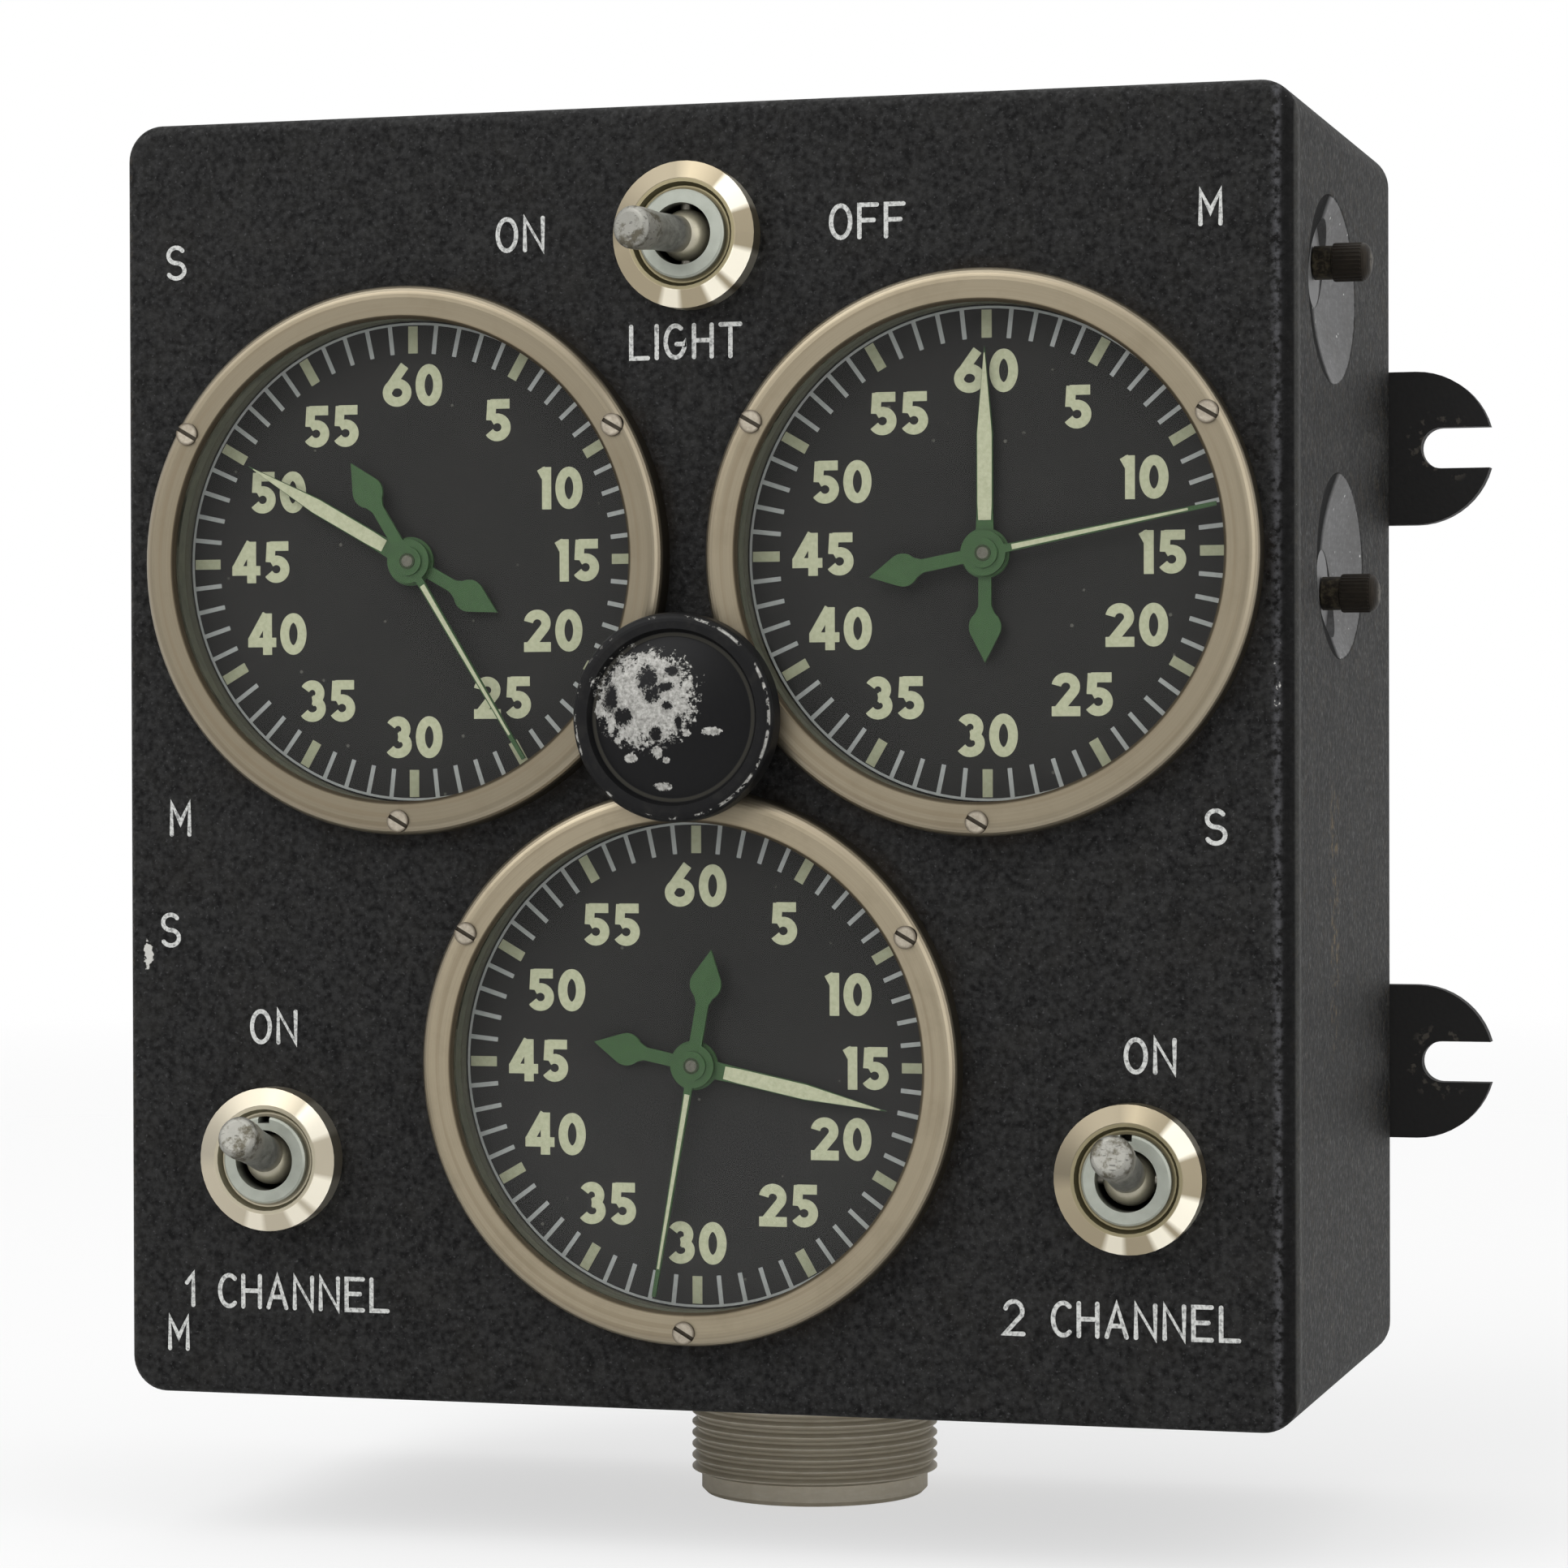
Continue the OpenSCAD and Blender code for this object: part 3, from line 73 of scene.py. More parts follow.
pose = Matrix((across, -down, -ahead)).transposed().to_4x4()
pose.translation = seat
camera.matrix_world = pose
bpy.context.scene.collection.objects.link(camera)
bpy.context.scene.camera = camera

# Case. A deep cast box and its rear tray, stove enamelled in black with a fine leathery grain.
# The enamel has chipped at the front edges, and the finger dishes are bare alloy.


class Socket:
    """One output socket of a finish. Sums and products of sockets add Math nodes."""

    def __init__(self, tree, link):
        self.tree = tree
        self.link = link

    def node(self, kind, settings, inputs, output=0):
        """Adds a node of this kind, with its settings and the values or links of its sockets."""
        made = self.tree.nodes.new(kind)
        for name, value in settings.items():
            setattr(made, name, value)
        for name, value in inputs.items():
            if isinstance(value, Socket):
                self.tree.links.new(value.link, made.inputs[name])
            else:
                made.inputs[name].default_value = value
        return Socket(self.tree, made.outputs[output])

    def math(self, operation, first, second=0.0):
        return self.node("ShaderNodeMath", {"operation": operation}, {0: first, 1: second})

    def __add__(self, other):
        return self.math("ADD", self, other)

    def __radd__(self, other):
        return self.math("ADD", other, self)

    def __sub__(self, other):
        return self.math("SUBTRACT", self, other)

    def __rsub__(self, other):
        return self.math("SUBTRACT", other, self)

    def __mul__(self, other):
        return self.math("MULTIPLY", self, other)

    def __rmul__(self, other):
        return self.math("MULTIPLY", other, self)

    def __truediv__(self, other):
        return self.math("DIVIDE", self, other)

    def __abs__(self):
        return self.math("ABSOLUTE", self)

    def most(self, other):
        return self.math("MAXIMUM", self, other)

    def least(self, other):
        return self.math("MINIMUM", self, other)

    def above(self, edge, soft):
        """0 below edge, 1 above edge + soft."""
        return self.node("ShaderNodeMapRange", {"clamp": True},
                         {"Value": self, "From Min": edge, "From Max": edge + soft})

    def below(self, edge, soft):
        """1 below edge, 0 above edge + soft."""
        return 1 - self.above(edge, soft)

    def blend(self, off, on):
        """The colour off where this mask is 0, and on where it is 1."""
        return self.node("ShaderNodeMix", {"data_type": "RGBA"}, {0: self, 6: off, 7: on}, 2)


def colour(red, green, blue):
    """Linear colour of a paint seen as this shade on a screen."""
    parts = [v / 255 for v in (red, green, blue)]
    return [v / 12.92 if v <= 0.04045 else ((v + 0.055) / 1.055) ** 2.4 for v in parts] + [1.0]


class Finish:
    """A surface finish: a material whose Principled shader is filled in by set()."""

    def __init__(self, name):
        self.material = bpy.data.materials.new(name)
        self.material.use_nodes = True
        tree = self.material.node_tree
        self.shader = tree.nodes["Principled BSDF"]
        coords = tree.nodes.new("ShaderNodeTexCoord")
        self.place = Socket(tree, coords.outputs["Object"])
        split = tree.nodes.new("ShaderNodeSeparateXYZ")
        tree.links.new(self.place.link, split.inputs[0])
        self.x, self.y, self.z = [Socket(tree, out) * (1 / MM) for out in split.outputs]

    def noise(self, place, detail, rough=0.5):
        """Noise from 0 to 1 whose lumps are about one unit of place across."""
        return self.place.node("ShaderNodeTexNoise", {},
                               {"Vector": place, "Scale": 1.0, "Detail": detail, "Roughness": rough})

    def grain(self, size_mm, detail=2.0, rough=0.5, stretch=(1, 1, 1)):
        """Noise from 0 to 1 whose lumps are about size_mm across, longer where stretched."""
        scale = [1 / (MM * size_mm * s) for s in stretch]
        moved = self.place.node("ShaderNodeVectorMath", {"operation": "MULTIPLY"},
                                {0: self.place, 1: scale})
        return self.noise(moved, detail, rough)

    def cells(self, size_mm):
        """Distance to the nearest of cells about size_mm across."""
        return self.place.node("ShaderNodeTexVoronoi", {},
                               {"Vector": self.place, "Scale": 1 / (MM * size_mm)})

    def spot(self, x, z, wide, high, ragged=0.0):
        """1 at the middle of an ellipse on the front, 0 at its edge, less beyond."""
        dx = (self.x - x) / wide
        dz = (self.z - z) / high
        return 1 - (dx * dx + dz * dz) + ragged

    def radius(self, x, z):
        """Distance in mm from the line that runs front to back through x, z."""
        dx = self.x - x
        dz = self.z - z
        return self.place.math("SQRT", dx * dx + dz * dz)

    def nearest(self, middles):
        """The smallest of the distances from lines that run front to back through these middles."""
        found = None
        for x, z in middles:
            here = self.radius(x, z)
            found = here if found is None else found.least(here)
        return found

    def joined(self, *parts):
        """A place made up of these three numbers."""
        return self.place.node("ShaderNodeCombineXYZ", {}, dict(enumerate(parts)))

    def relief(self, height, depth_mm, strength):
        """Bumps as deep as depth_mm where height goes from 0 to 1."""
        return self.place.node("ShaderNodeBump", {},
                               {"Height": height, "Distance": depth_mm * MM, "Strength": strength})

    def set(self, **inputs):
        """Fills in sockets of the Principled shader, named with _ for each space."""
        for name, value in inputs.items():
            socket = self.shader.inputs[name.replace("_", " ")]
            if isinstance(value, Socket):
                self.shader.id_data.links.new(value.link, socket)
            else:
                socket.default_value = value

    def cover(self, *names):
        """Gives this finish to the CAD nodes named."""
        for name in names:
            mesh = nodes[name].data
            mesh.materials.clear()
            mesh.materials.append(self.material)


def corners(node):
    """Both corners of the box round a CAD node, in mm."""
    return [Vector(corner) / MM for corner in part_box(node)]


def middle(node):
    """Middle of a CAD node in the front view, in mm."""
    low, high = corners(node)
    return (low.x + high.x) / 2, (low.z + high.z) / 2


case_low, case_high = corners("front_housing")
half_w, half_h, front_y = case_high.x, case_high.z, case_low.y
dial_middles = {side: middle(side + "_bezel") for side in ("left", "right", "lower")}
enamel = Finish("black_crackle_enamel")
pebble = enamel.grain(0.8, detail=4.0, rough=0.6)
lump = enamel.grain(2.0, detail=3.0, rough=0.6)
speck = enamel.grain(0.5, detail=3.0, rough=0.7)
cloud = enamel.grain(9.0, detail=4.0, rough=0.65)
side_gap = half_w - abs(enamel.x)
top_gap = half_h - abs(enamel.z)
front_gap = enamel.y - front_y
flake = enamel.grain(0.8, detail=3.0, rough=0.6)
# one large chip by the left edge, and a few specks by the right one, on a line of grey dust
chip_x, chip_z, chip_half_w, chip_half_h = -72.3, -24.8, 0.75, 2.1
left_chip = enamel.spot(chip_x, chip_z, chip_half_w, chip_half_h, (flake - 0.5) * 3.0).above(0.3, 0.2)
left_chip = left_chip * front_gap.below(0.6, 0.3)
dust_x, speck_z, speck_reach = 72.7, 9.0, 4.0
dust_line = abs(enamel.x - dust_x).below(0.2, 0.7) * front_gap.below(0.9, 0.3)
speck_part = dust_line * abs(enamel.z - speck_z).below(speck_reach, 3.0)
edge_specks = (speck_part * 0.16 + flake).above(0.77, 0.04) * dust_line
corner_chip = enamel.grain(1.4, detail=4.0, rough=0.7).above(0.735, 0.02)
corner_chip = corner_chip * (side_gap.least(top_gap) + front_gap).below(1.6, 0.6)
bare = left_chip.most(edge_specks).most(corner_chip * 0.7)
# finger dishes: side of the case, middle along Y and Z, half sizes
dishes = ((1, -54.0, 57.8), (1, -48.0, 23.8), (-1, -48.0, 57.8), (-1, -54.0, 23.8),
          (-1, -48.0, -29.4), (-1, -54.0, -61.6))
dish_half_y, dish_half_z = 18.5, 11.75
side_from_x = 70.0
dish_shade_edge = -0.12
dish = None
dish_painted_shade = None
for side, y_mid, z_mid in dishes:
    dy = (enamel.y - y_mid) / dish_half_y
    dz = (enamel.z - z_mid) / dish_half_z
    inside = (1 - (dy * dy + dz * dz)) * (enamel.x * side).above(side_from_x, 0.1)
    # painted shade on the front half of this dish
    dish_shade_here = dy.below(dish_shade_edge, 0.14) * inside.above(0.0, 0.02)
    dish = inside if dish is None else dish.most(inside)
    dish_painted_shade = dish_shade_here if dish_painted_shade is None else dish_painted_shade.most(dish_shade_here)
sunk = (dish + (flake - 0.5) * 0.05).above(0.02, 0.02) * side_gap.above(0.05, 0.03)
scratch = enamel.grain(0.5, detail=2.0, stretch=(1, 9, 1)) * 0.6 + enamel.grain(0.25, detail=1.0) * 0.4
sparkle = enamel.cells(1.2).below(0.13, 0.05) * enamel.grain(1.9).above(0.56, 0.05)
alloy = scratch.blend(colour(76, 76, 77), colour(126, 126, 126))
alloy = (cloud.above(0.42, 0.3) * 0.4).blend(alloy, colour(78, 76, 72))
alloy = sparkle.blend(alloy, colour(214, 214, 212))
# painted shade: the front half of each dish, whose wall faces away from the lamps, is made near black
alloy = (dish_painted_shade * 0.95).blend(alloy, colour(5, 5, 5))
# walls of the dial openings: primer that has faded to olive grey; grime lies round the bezels
opening = enamel.nearest(dial_middles.values())
opening_r, opening_deep, grime_r = 30.2, 8.0, 34.6
opening_wall = opening.below(opening_r + 0.03, 0.03) * front_gap.below(opening_deep, 1.0)
ring_grime = opening.below(grime_r, 1.5) * cloud.above(0.4, 0.3) * front_gap.below(1.0, 0.5)
lacquer = pebble.above(0.36, 0.28).blend(colour(6, 6, 6), colour(37, 37, 37))
side_face = side_gap.below(0.5, 0.3)
lacquer = (lump.above(0.44, 0.16) * (0.15 + 0.35 * side_face)).blend(lacquer, colour(54, 54, 52))
lacquer = (speck.below(0.44, 0.08) * side_face * 0.8).blend(lacquer, colour(3, 3, 3))
lacquer = (cloud.above(0.5, 0.25) * 0.3).blend(lacquer, colour(32, 30, 26))
lacquer = (ring_grime * 0.4).blend(lacquer, colour(36, 28, 19))
lacquer = (speck.above(0.6, 0.08) * 0.6).blend(lacquer, colour(70, 70, 71))
# a rusty streak down the right side, between the dishes and the lower edge
rust_y, rust_z, rust_half_h = -53.0, -20.0, 12.0
rust_streak = (abs(enamel.y - rust_y).below(1.5, 2.5) * abs(enamel.z - rust_z).below(rust_half_h, 6.0)
               * enamel.x.above(side_from_x, 1.0))
rust = enamel.grain(1.2, detail=4.0, rough=0.7).above(0.53, 0.12)
rust = rust * (rust_streak + 0.12 * side_gap.below(0.6, 0.4))
lacquer = rust.blend(lacquer, colour(96, 82, 58))
# the rounded front edge of the right side: a band of painted shade, then a painted highlight on the corner
right_from_x = 60.0
right_edge = enamel.x.above(right_from_x, 1.0)
edge_shade_band = side_gap.above(0.2, 0.2) * side_gap.below(1.7, 0.5) * front_gap.below(1.0, 0.4) * right_edge
corner_highlight = side_gap.below(0.3, 0.2) * front_gap.below(2.2, 0.8) * right_edge
lacquer = (dust_line * flake.above(0.4, 0.2) * 0.6).blend(lacquer, colour(80, 80, 83))
lacquer = (edge_shade_band * 0.8).blend(lacquer, colour(4, 4, 4))
lacquer = (corner_highlight * 0.4).blend(lacquer, colour(78, 78, 76))
lacquer = bare.blend(lacquer, colour(182, 181, 176))
lacquer = opening_wall.blend(lacquer, colour(98, 97, 84))
enamel_height = (pebble + 0.6 * lump) * (1 - sunk) + 0.12 * scratch * sunk - 0.5 * bare
enamel.set(Base_Color=sunk.blend(lacquer, alloy),
           Roughness=0.56 - 0.16 * pebble.above(0.5, 0.2) - 0.1 * sunk + 0.5 * dish_painted_shade,
           Metallic=sunk * (1 - dish_painted_shade) * 0.55,
           Specular_IOR_Level=0.1,
           Normal=enamel.relief(enamel_height, 0.14, 0.9))
enamel.cover("front_housing", "back_cover")

# Mounting straps. Two bars of 2.5 mm steel across the back, in a smoother black paint,
# each held by four countersunk screws. The paint has rubbed through round the open slots.
strap_paint = Finish("strap_black")
strap_grain = strap_paint.grain(0.6, detail=2.0)
slot_end_x, strap_z = 81.5, 41.3
slot_x = abs(strap_paint.x) - slot_end_x
slot_z = abs(strap_paint.z) - strap_z
slot_rub = (slot_x * slot_x + slot_z * slot_z).below(18.0, 10.0)
slot_rub = slot_rub * strap_paint.grain(1.4, detail=3.0).above(0.57, 0.06)
strap_colour = strap_grain.blend(colour(15, 15, 15), colour(28, 27, 26))
strap_paint.set(Base_Color=slot_rub.blend(strap_colour, colour(66, 62, 56)),
                Roughness=0.5 + 0.2 * strap_grain,
                Specular_IOR_Level=0.25,
                Normal=strap_paint.relief(strap_grain, 0.04, 0.5))
strap_paint.cover("mounting_straps")

# Rear screws, connector screws and pivot pins. Turned steel, plated with zinc and dulled by age.
# The rear ones hold the cover and the straps, and the pins carry the switch levers.
plated = Finish("plated_steel")
plated_grain = plated.grain(0.7, detail=3.0)
plated.set(Base_Color=plated_grain.blend(colour(122, 118, 110), colour(168, 164, 154)),
           Metallic=1.0,
           Roughness=0.34 + 0.2 * plated_grain,
           Normal=plated.relief(plated_grain, 0.02, 0.4))
plated.cover("rear_screws", "connector_screws", "switch_pivot_pins")

# Panel lettering. Cut with a pantograph engraver and filled with white paint,
# so every stroke has the same width and round ends.
panel_y = front_y * MM
# a corner whose half turn has a smaller cosine is cut short; a round end spans twice these degrees
sharpest, round_end_half, end_steps = 0.45, 75, 6
tiny = 1e-9


def bow(x, z, wide, high, start, stop, steps):
    """Part of an ellipse as points; angles run anticlockwise from the right."""
    angles = [math.radians(start + (stop - start) * i / steps) for i in range(steps + 1)]
    return [(x + wide * math.cos(a), z + high * math.sin(a)) for a in angles]


def band(mesh, near, far):
    """Joins two rings of corners with a closed row of faces."""
    for i in range(len(near)):
        j = (i + 1) % len(near)
        mesh.faces.new((near[i], near[j], far[j], far[i]))


def ribbon(mesh, points, width, y_front, y_back, round_ends):
    """Adds one flat stroke that follows points, facing the front, to a bmesh."""
    closed = math.dist(points[0], points[-1]) < tiny
    if closed:
        points = points[:-1]
    count = len(points)
    left, right = [], []
    for i, (x, z) in enumerate(points):
        before = points[i - 1] if closed or i else points[i]
        after = points[(i + 1) % count] if closed or i < count - 1 else points[i]
        ins = Vector((x - before[0], z - before[1]))
        out = Vector((after[0] - x, after[1] - z))
        ins = ins.normalized() if ins.length > tiny else out.normalized()
        out = out.normalized() if out.length > tiny else ins
        along = (ins + out).normalized()
        wide = width / 2 / max(sharpest, along.dot(out))
        left.append((x - along.y * wide, z + along.x * wide))
        right.append((x + along.y * wide, z - along.x * wide))
    if closed:
        rims = [left, right]
    else:
        outline = list(left)
        for end, inner in ((-1, -2), (0, 1)):
            if round_ends:
                x, z = points[end]
                near = points[inner]
                heading = math.degrees(math.atan2(z - near[1], x - near[0]))
                outline += bow(x, z, width / 2, width / 2,
                               heading + round_end_half, heading - round_end_half, end_steps)
            if end == -1:
                outline += right[::-1]
        rims = [outline]
    loops = []
    for rim in rims:
        loops.append([[mesh.verts.new((x, y, z)) for x, z in rim] for y in (y_front, y_back)])
    for front, back in loops:
        band(mesh, front, back)
    if closed:
        for outer, inner in zip(*loops):
            band(mesh, outer, inner)
    else:
        front, back = loops[0]
        for layer in (front, back):
            half = len(left)
            extra = len(layer) - 2 * half
            ends = layer[half:half + extra // 2]
            starts = layer[len(layer) - extra // 2:] if extra else []
            lefts = layer[:half]
            rights = layer[half + extra // 2:half + extra // 2 + half][::-1]
            for i in range(half - 1):
                mesh.faces.new((lefts[i], lefts[i + 1], rights[i + 1], rights[i]))
            if ends:
                mesh.faces.new([lefts[-1]] + ends + [rights[-1]])
            if starts:
                mesh.faces.new([rights[0]] + starts + [lefts[0]])


def as_piece(mesh, name, finish, body):
    """Turns a bmesh into a piece that rides on a body."""
    bmesh.ops.recalc_face_normals(mesh, faces=mesh.faces)
    data = bpy.data.meshes.new(name)
    mesh.to_mesh(data)
    mesh.free()
    data.materials.append(finish.material)
    piece = bpy.data.objects.new(name, data)
    bpy.context.scene.collection.objects.link(piece)
    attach(piece, body)


# Engraved letters on a grid 0.62 wide and 1 high, as strokes from centre to centre.
letter_strokes = {
    "O": [bow(0.31, 0.5, 0.31, 0.5, 0, 360, 28)],
    "N": [[(0, 0), (0, 1), (0.6, 0), (0.6, 1)]],
    "F": [[(0.56, 1), (0, 1), (0, 0)], [(0, 0.52), (0.46, 0.52)]],
    "L": [[(0, 1), (0, 0), (0.55, 0)]],
    "I": [[(0, 0), (0, 1)]],
    "G": [bow(0.32, 0.5, 0.32, 0.5, 55, 355, 24) + [(0.63, 0.42), (0.36, 0.42)]],
    "H": [[(0, 0), (0, 1)], [(0.58, 0), (0.58, 1)], [(0, 0.52), (0.58, 0.52)]],
    "T": [[(0, 1), (0.64, 1)], [(0.32, 1), (0.32, 0)]],
    "C": [bow(0.32, 0.5, 0.32, 0.5, 52, 308, 24)],
    "A": [[(0, 0), (0.31, 1), (0.62, 0)], [(0.11, 0.34), (0.51, 0.34)]],
    "E": [[(0.56, 1), (0, 1), (0, 0), (0.56, 0)], [(0, 0.52), (0.46, 0.52)]],
    "S": [bow(0.29, 0.75, 0.27, 0.25, 35, 270, 16)[:-1] + bow(0.29, 0.25, 0.29, 0.25, 90, -150, 16)],
    "M": [[(0, 0), (0, 1), (0.31, 0.38), (0.62, 1), (0.62, 0)]],
    "1": [[(0, 0.72), (0.22, 1), (0.22, 0)]],
    "2": [bow(0.28, 0.7, 0.27, 0.3, 165, -25, 14) + [(0, 0), (0.58, 0)]],
}
letter_h, letter_gap, stroke_w, space_w = 3.9, 1.15, 0.55, 0.35
letter_rise, letter_step, letter_sink = 0.04, 0.01, 0.08


def letter_width(letter):
    """Width of a letter or of the space between words, as a share of the height."""
    if letter == " ":
        return space_w
    return max(x for stroke in letter_strokes[letter] for x, z in stroke)


def engrave(mesh, words, x_mid, z_mid):
    """Fills words on the panel, centred on a point; crossing strokes stand a step apart."""
    widths = [letter_width(letter) * letter_h for letter in words]
    x = x_mid - (sum(widths) + letter_gap * (len(words) - 1)) / 2
    for letter, width in zip(words, widths):
        for number, stroke in enumerate(letter_strokes.get(letter, [])):
            points = [((x + px * letter_h) * MM, (z_mid + (pz - 0.5) * letter_h) * MM) for px, pz in stroke]
            rise = letter_rise + letter_step * number
            ribbon(mesh, points, stroke_w * MM, panel_y - rise * MM, panel_y + letter_sink * MM, True)
        x += width + letter_gap


# words, and their middle along X and Z
panel_words = (("ON", -22.0, 65.0), ("OFF", 22.5, 65.2), ("LIGHT", -0.6, 51.2), ("S", -68.1, 62.9),
               ("M", 64.7, 65.4), ("M", -67.8, -7.6), ("S", -69.2, -21.7), ("M", -68.3, -72.9),
               ("S", 65.2, -8.3), ("ON", -55.2, -33.8), ("ON", 57.2, -35.7),
               ("1 CHANNEL", -53.6, -67.3), ("2 CHANNEL", 53.6, -67.5))
fill_white = Finish("engraved_white_fill")
fill_grain = fill_white.grain(0.5, detail=3.0, rough=0.7)
fill_white.set(Base_Color=fill_grain.above(0.34, 0.2).blend(colour(110, 111, 110), colour(190, 191, 188)),
               Roughness=0.6,
               Normal=fill_white.relief(fill_grain, 0.05, 0.5))
lettering = bmesh.new()
for words, x_mid, z_mid in panel_words:
    engrave(lettering, words, x_mid, z_mid)
as_piece(lettering, "panel_lettering", fill_white, "case")

# Bezels. Turned rings of satin nickel, gone warm with age, each held by three slotted screws.
# Fine turning lines run round them, and a painted highlight lightens the outer corner.
# painted light: each bezel's nickel is scaled by its own factor, so the three copies are lit differently
bezel_painted_light = {"left": 0.9, "right": 0.97, "lower": 1.05}
bezel_in_r, rounded_r, bezel_foot_r = 30.2, 33.0, 34.1
for side, (x_mid, z_mid) in dial_middles.items():
    ring = Finish(side + "_bezel_nickel")
    radius = ring.radius(x_mid, z_mid)
    around = ring.place.math("ARCTAN2", ring.x - x_mid, ring.z - z_mid)
    turning = ring.noise(ring.joined(radius * 5.0, around * 0.9, 0.0), 3.0, 0.7)
    streak = ring.noise(ring.joined(radius * 1.4, around * 0.5, 4.0), 2.0)
    tarnish = ring.grain(6.0, detail=4.0, rough=0.65)
    corner = radius.above(rounded_r, 0.5)
    inner_wall = radius.below(bezel_in_r + 0.1, 0.2)
    # painted shade on the bezel's inner wall and round its foot
    bezel_wall_shade = radius.below(bezel_in_r, 0.25).most(radius.above(bezel_foot_r, 0.08) * 0.8)
    shade = bezel_painted_light[side]
    metal = turning.blend(colour(130 * shade, 121 * shade, 103 * shade),
                          colour(148 * shade, 138 * shade, 118 * shade))
    metal = (streak.above(0.52, 0.1) * 0.3).blend(metal, colour(116, 102, 82))
    metal = (tarnish.above(0.5, 0.3) * 0.35).blend(metal, colour(112, 102, 84))
    # painted highlight on the rounded outer corner
    metal = (corner * 0.35).blend(metal, colour(178, 168, 148))
    metal = (bezel_wall_shade * 0.75).blend(metal, colour(46, 38, 27))
    ring.set(Base_Color=metal, Metallic=1.0,
             Roughness=0.44 - 0.1 * corner + 0.1 * tarnish + 0.4 * inner_wall,
             Normal=ring.relief(turning * 0.5 + 0.15 * tarnish, 0.02, 0.4))
    ring.cover(side + "_bezel")

# Bezel screws. Turned cheese heads of 2.8 mm in the same nickel, which hold the bezels
# to the panel. They are darker deeper in the slots and towards the edge of each head.
screw_nickel = Finish("screw_nickel")
screw_grain = screw_nickel.grain(0.5, detail=4.0, rough=0.7)
screw_front = corners("bezel_screws")[0].y
slot_depth = (screw_nickel.y - screw_front).above(0.1, 0.2)
screw_ring_r, screw_angles, head_edge_r = 32.4, (30, 150, 270), 1.05
screw_middles = [(x_mid + screw_ring_r * math.cos(math.radians(angle)),
                  z_mid + screw_ring_r * math.sin(math.radians(angle)))
                 for x_mid, z_mid in dial_middles.values() for angle in screw_angles]
head_r = screw_nickel.nearest(screw_middles)
screw_face = screw_grain.blend(colour(120, 110, 96), colour(196, 188, 172))
screw_face = (head_r.above(head_edge_r, 0.3) * 0.75).blend(screw_face, colour(64, 54, 42))
screw_nickel.set(Base_Color=(slot_depth * 0.9).blend(screw_face, colour(34, 29, 23)),
                 Metallic=1.0,
                 Roughness=0.3 + 0.2 * screw_grain,
                 Normal=screw_nickel.relief(screw_grain, 0.05, 0.6))
screw_nickel.cover("bezel_screws")

# Glasses and their seals. Flat mineral glass of 1.2 mm, which each bezel presses
# on a ring of olive rubber.
clear = Finish("clear_glass")
tree = clear.material.node_tree
shine = clear.place.node("ShaderNodeBsdfGlossy", {}, {"Color": (1, 1, 1, 1), "Roughness": 0.02})
through = clear.place.node("ShaderNodeBsdfTransparent", {}, {"Color": (0.985, 0.988, 0.98, 1)})
rim_light = clear.place.node("ShaderNodeFresnel", {}, {"IOR": 1.33})
pane = clear.place.node("ShaderNodeMixShader", {}, {0: rim_light * 0.45, 1: through, 2: shine})
tree.links.new(pane.link, tree.nodes["Material Output"].inputs["Surface"])
clear.cover("dial_glasses")
seal = Finish("seal_rubber")
seal_olive = seal.grain(1.5, detail=2.0).blend(colour(84, 86, 74), colour(122, 122, 106))
seal.set(Base_Color=seal_olive, Roughness=0.55)
seal.cover("glass_gaskets")

# Dial plates. Discs of 1 mm alloy in matt black, with a printed circle, minute ticks and numbers.
# The ticks and circle are white, the numbers are cream luminous paint, and so are the
# five-minute ticks, whose paint is thinner and darker.
dial_black = Finish("dial_black")
dial_dust = dial_black.cells(2.6).below(0.07, 0.03) * dial_black.grain(3.0).above(0.55, 0.05)
dial_haze = dial_black.grain(9.0, detail=3.0)
dial_face = dial_haze.blend(colour(31, 30, 30), colour(42, 41, 40))
dial_black.set(Base_Color=(dial_dust * 0.5).blend(dial_face, colour(120, 118, 112)),
               Roughness=0.7 + 0.1 * dial_haze,
               Specular_IOR_Level=0.2)
dial_black.cover("left_dial_plate", "right_dial_plate", "lower_dial_plate")

print_white = Finish("print_white")
print_grain = print_white.grain(0.6, detail=2.0)
print_white.set(Base_Color=print_grain.blend(colour(146, 149, 149), colour(178, 181, 180)), Roughness=0.6)
lume_cream = Finish("luminous_cream")
lume_grain = lume_cream.grain(0.55, detail=3.0, rough=0.6)
lume_r = lume_cream.nearest(dial_middles.values())
thin_lume_r = 25.8
lume_colour = lume_grain.blend(colour(162, 165, 134), colour(206, 208, 180))
lume_colour = (lume_r.above(thin_lume_r, 0.2) * 0.4).blend(lume_colour, colour(112, 114, 92))
lume_cream.set(Base_Color=lume_colour,
               Roughness=0.75,
               Normal=lume_cream.relief(lume_grain, 0.05, 0.6))

dial_y = corners("lower_dial_plate")[0].y * MM
circle_r, tick_in, five_in, five_out = 29.8, 26.1, 26.1, 29.5
circle_w, tick_w, five_w, circle_steps = 0.3, 0.55, 1.25, 120
# how far the print stands out of the dial and reaches into it
circle_rise, tick_rise, number_rise, five_rise = 0.03, 0.04, 0.05, 0.07
stroke_step, print_sink = 0.01, 0.05
number_h, number_w, number_gap = 5.25, 1.2, 0.105
# middle of each number, from the middle of its dial
number_places = {60: (-0.1, 22.1), 5: (11.2, 17.5), 10: (19.4, 8.9), 15: (21.6, -0.1),
                 20: (18.4, -8.8), 25: (11.7, -17.1), 30: (0.0, -22.0), 35: (-11.6, -17.4),
                 40: (-18.4, -8.9), 45: (-20.6, 0.2), 50: (-18.2, 9.0), 55: (-11.0, 17.2)}
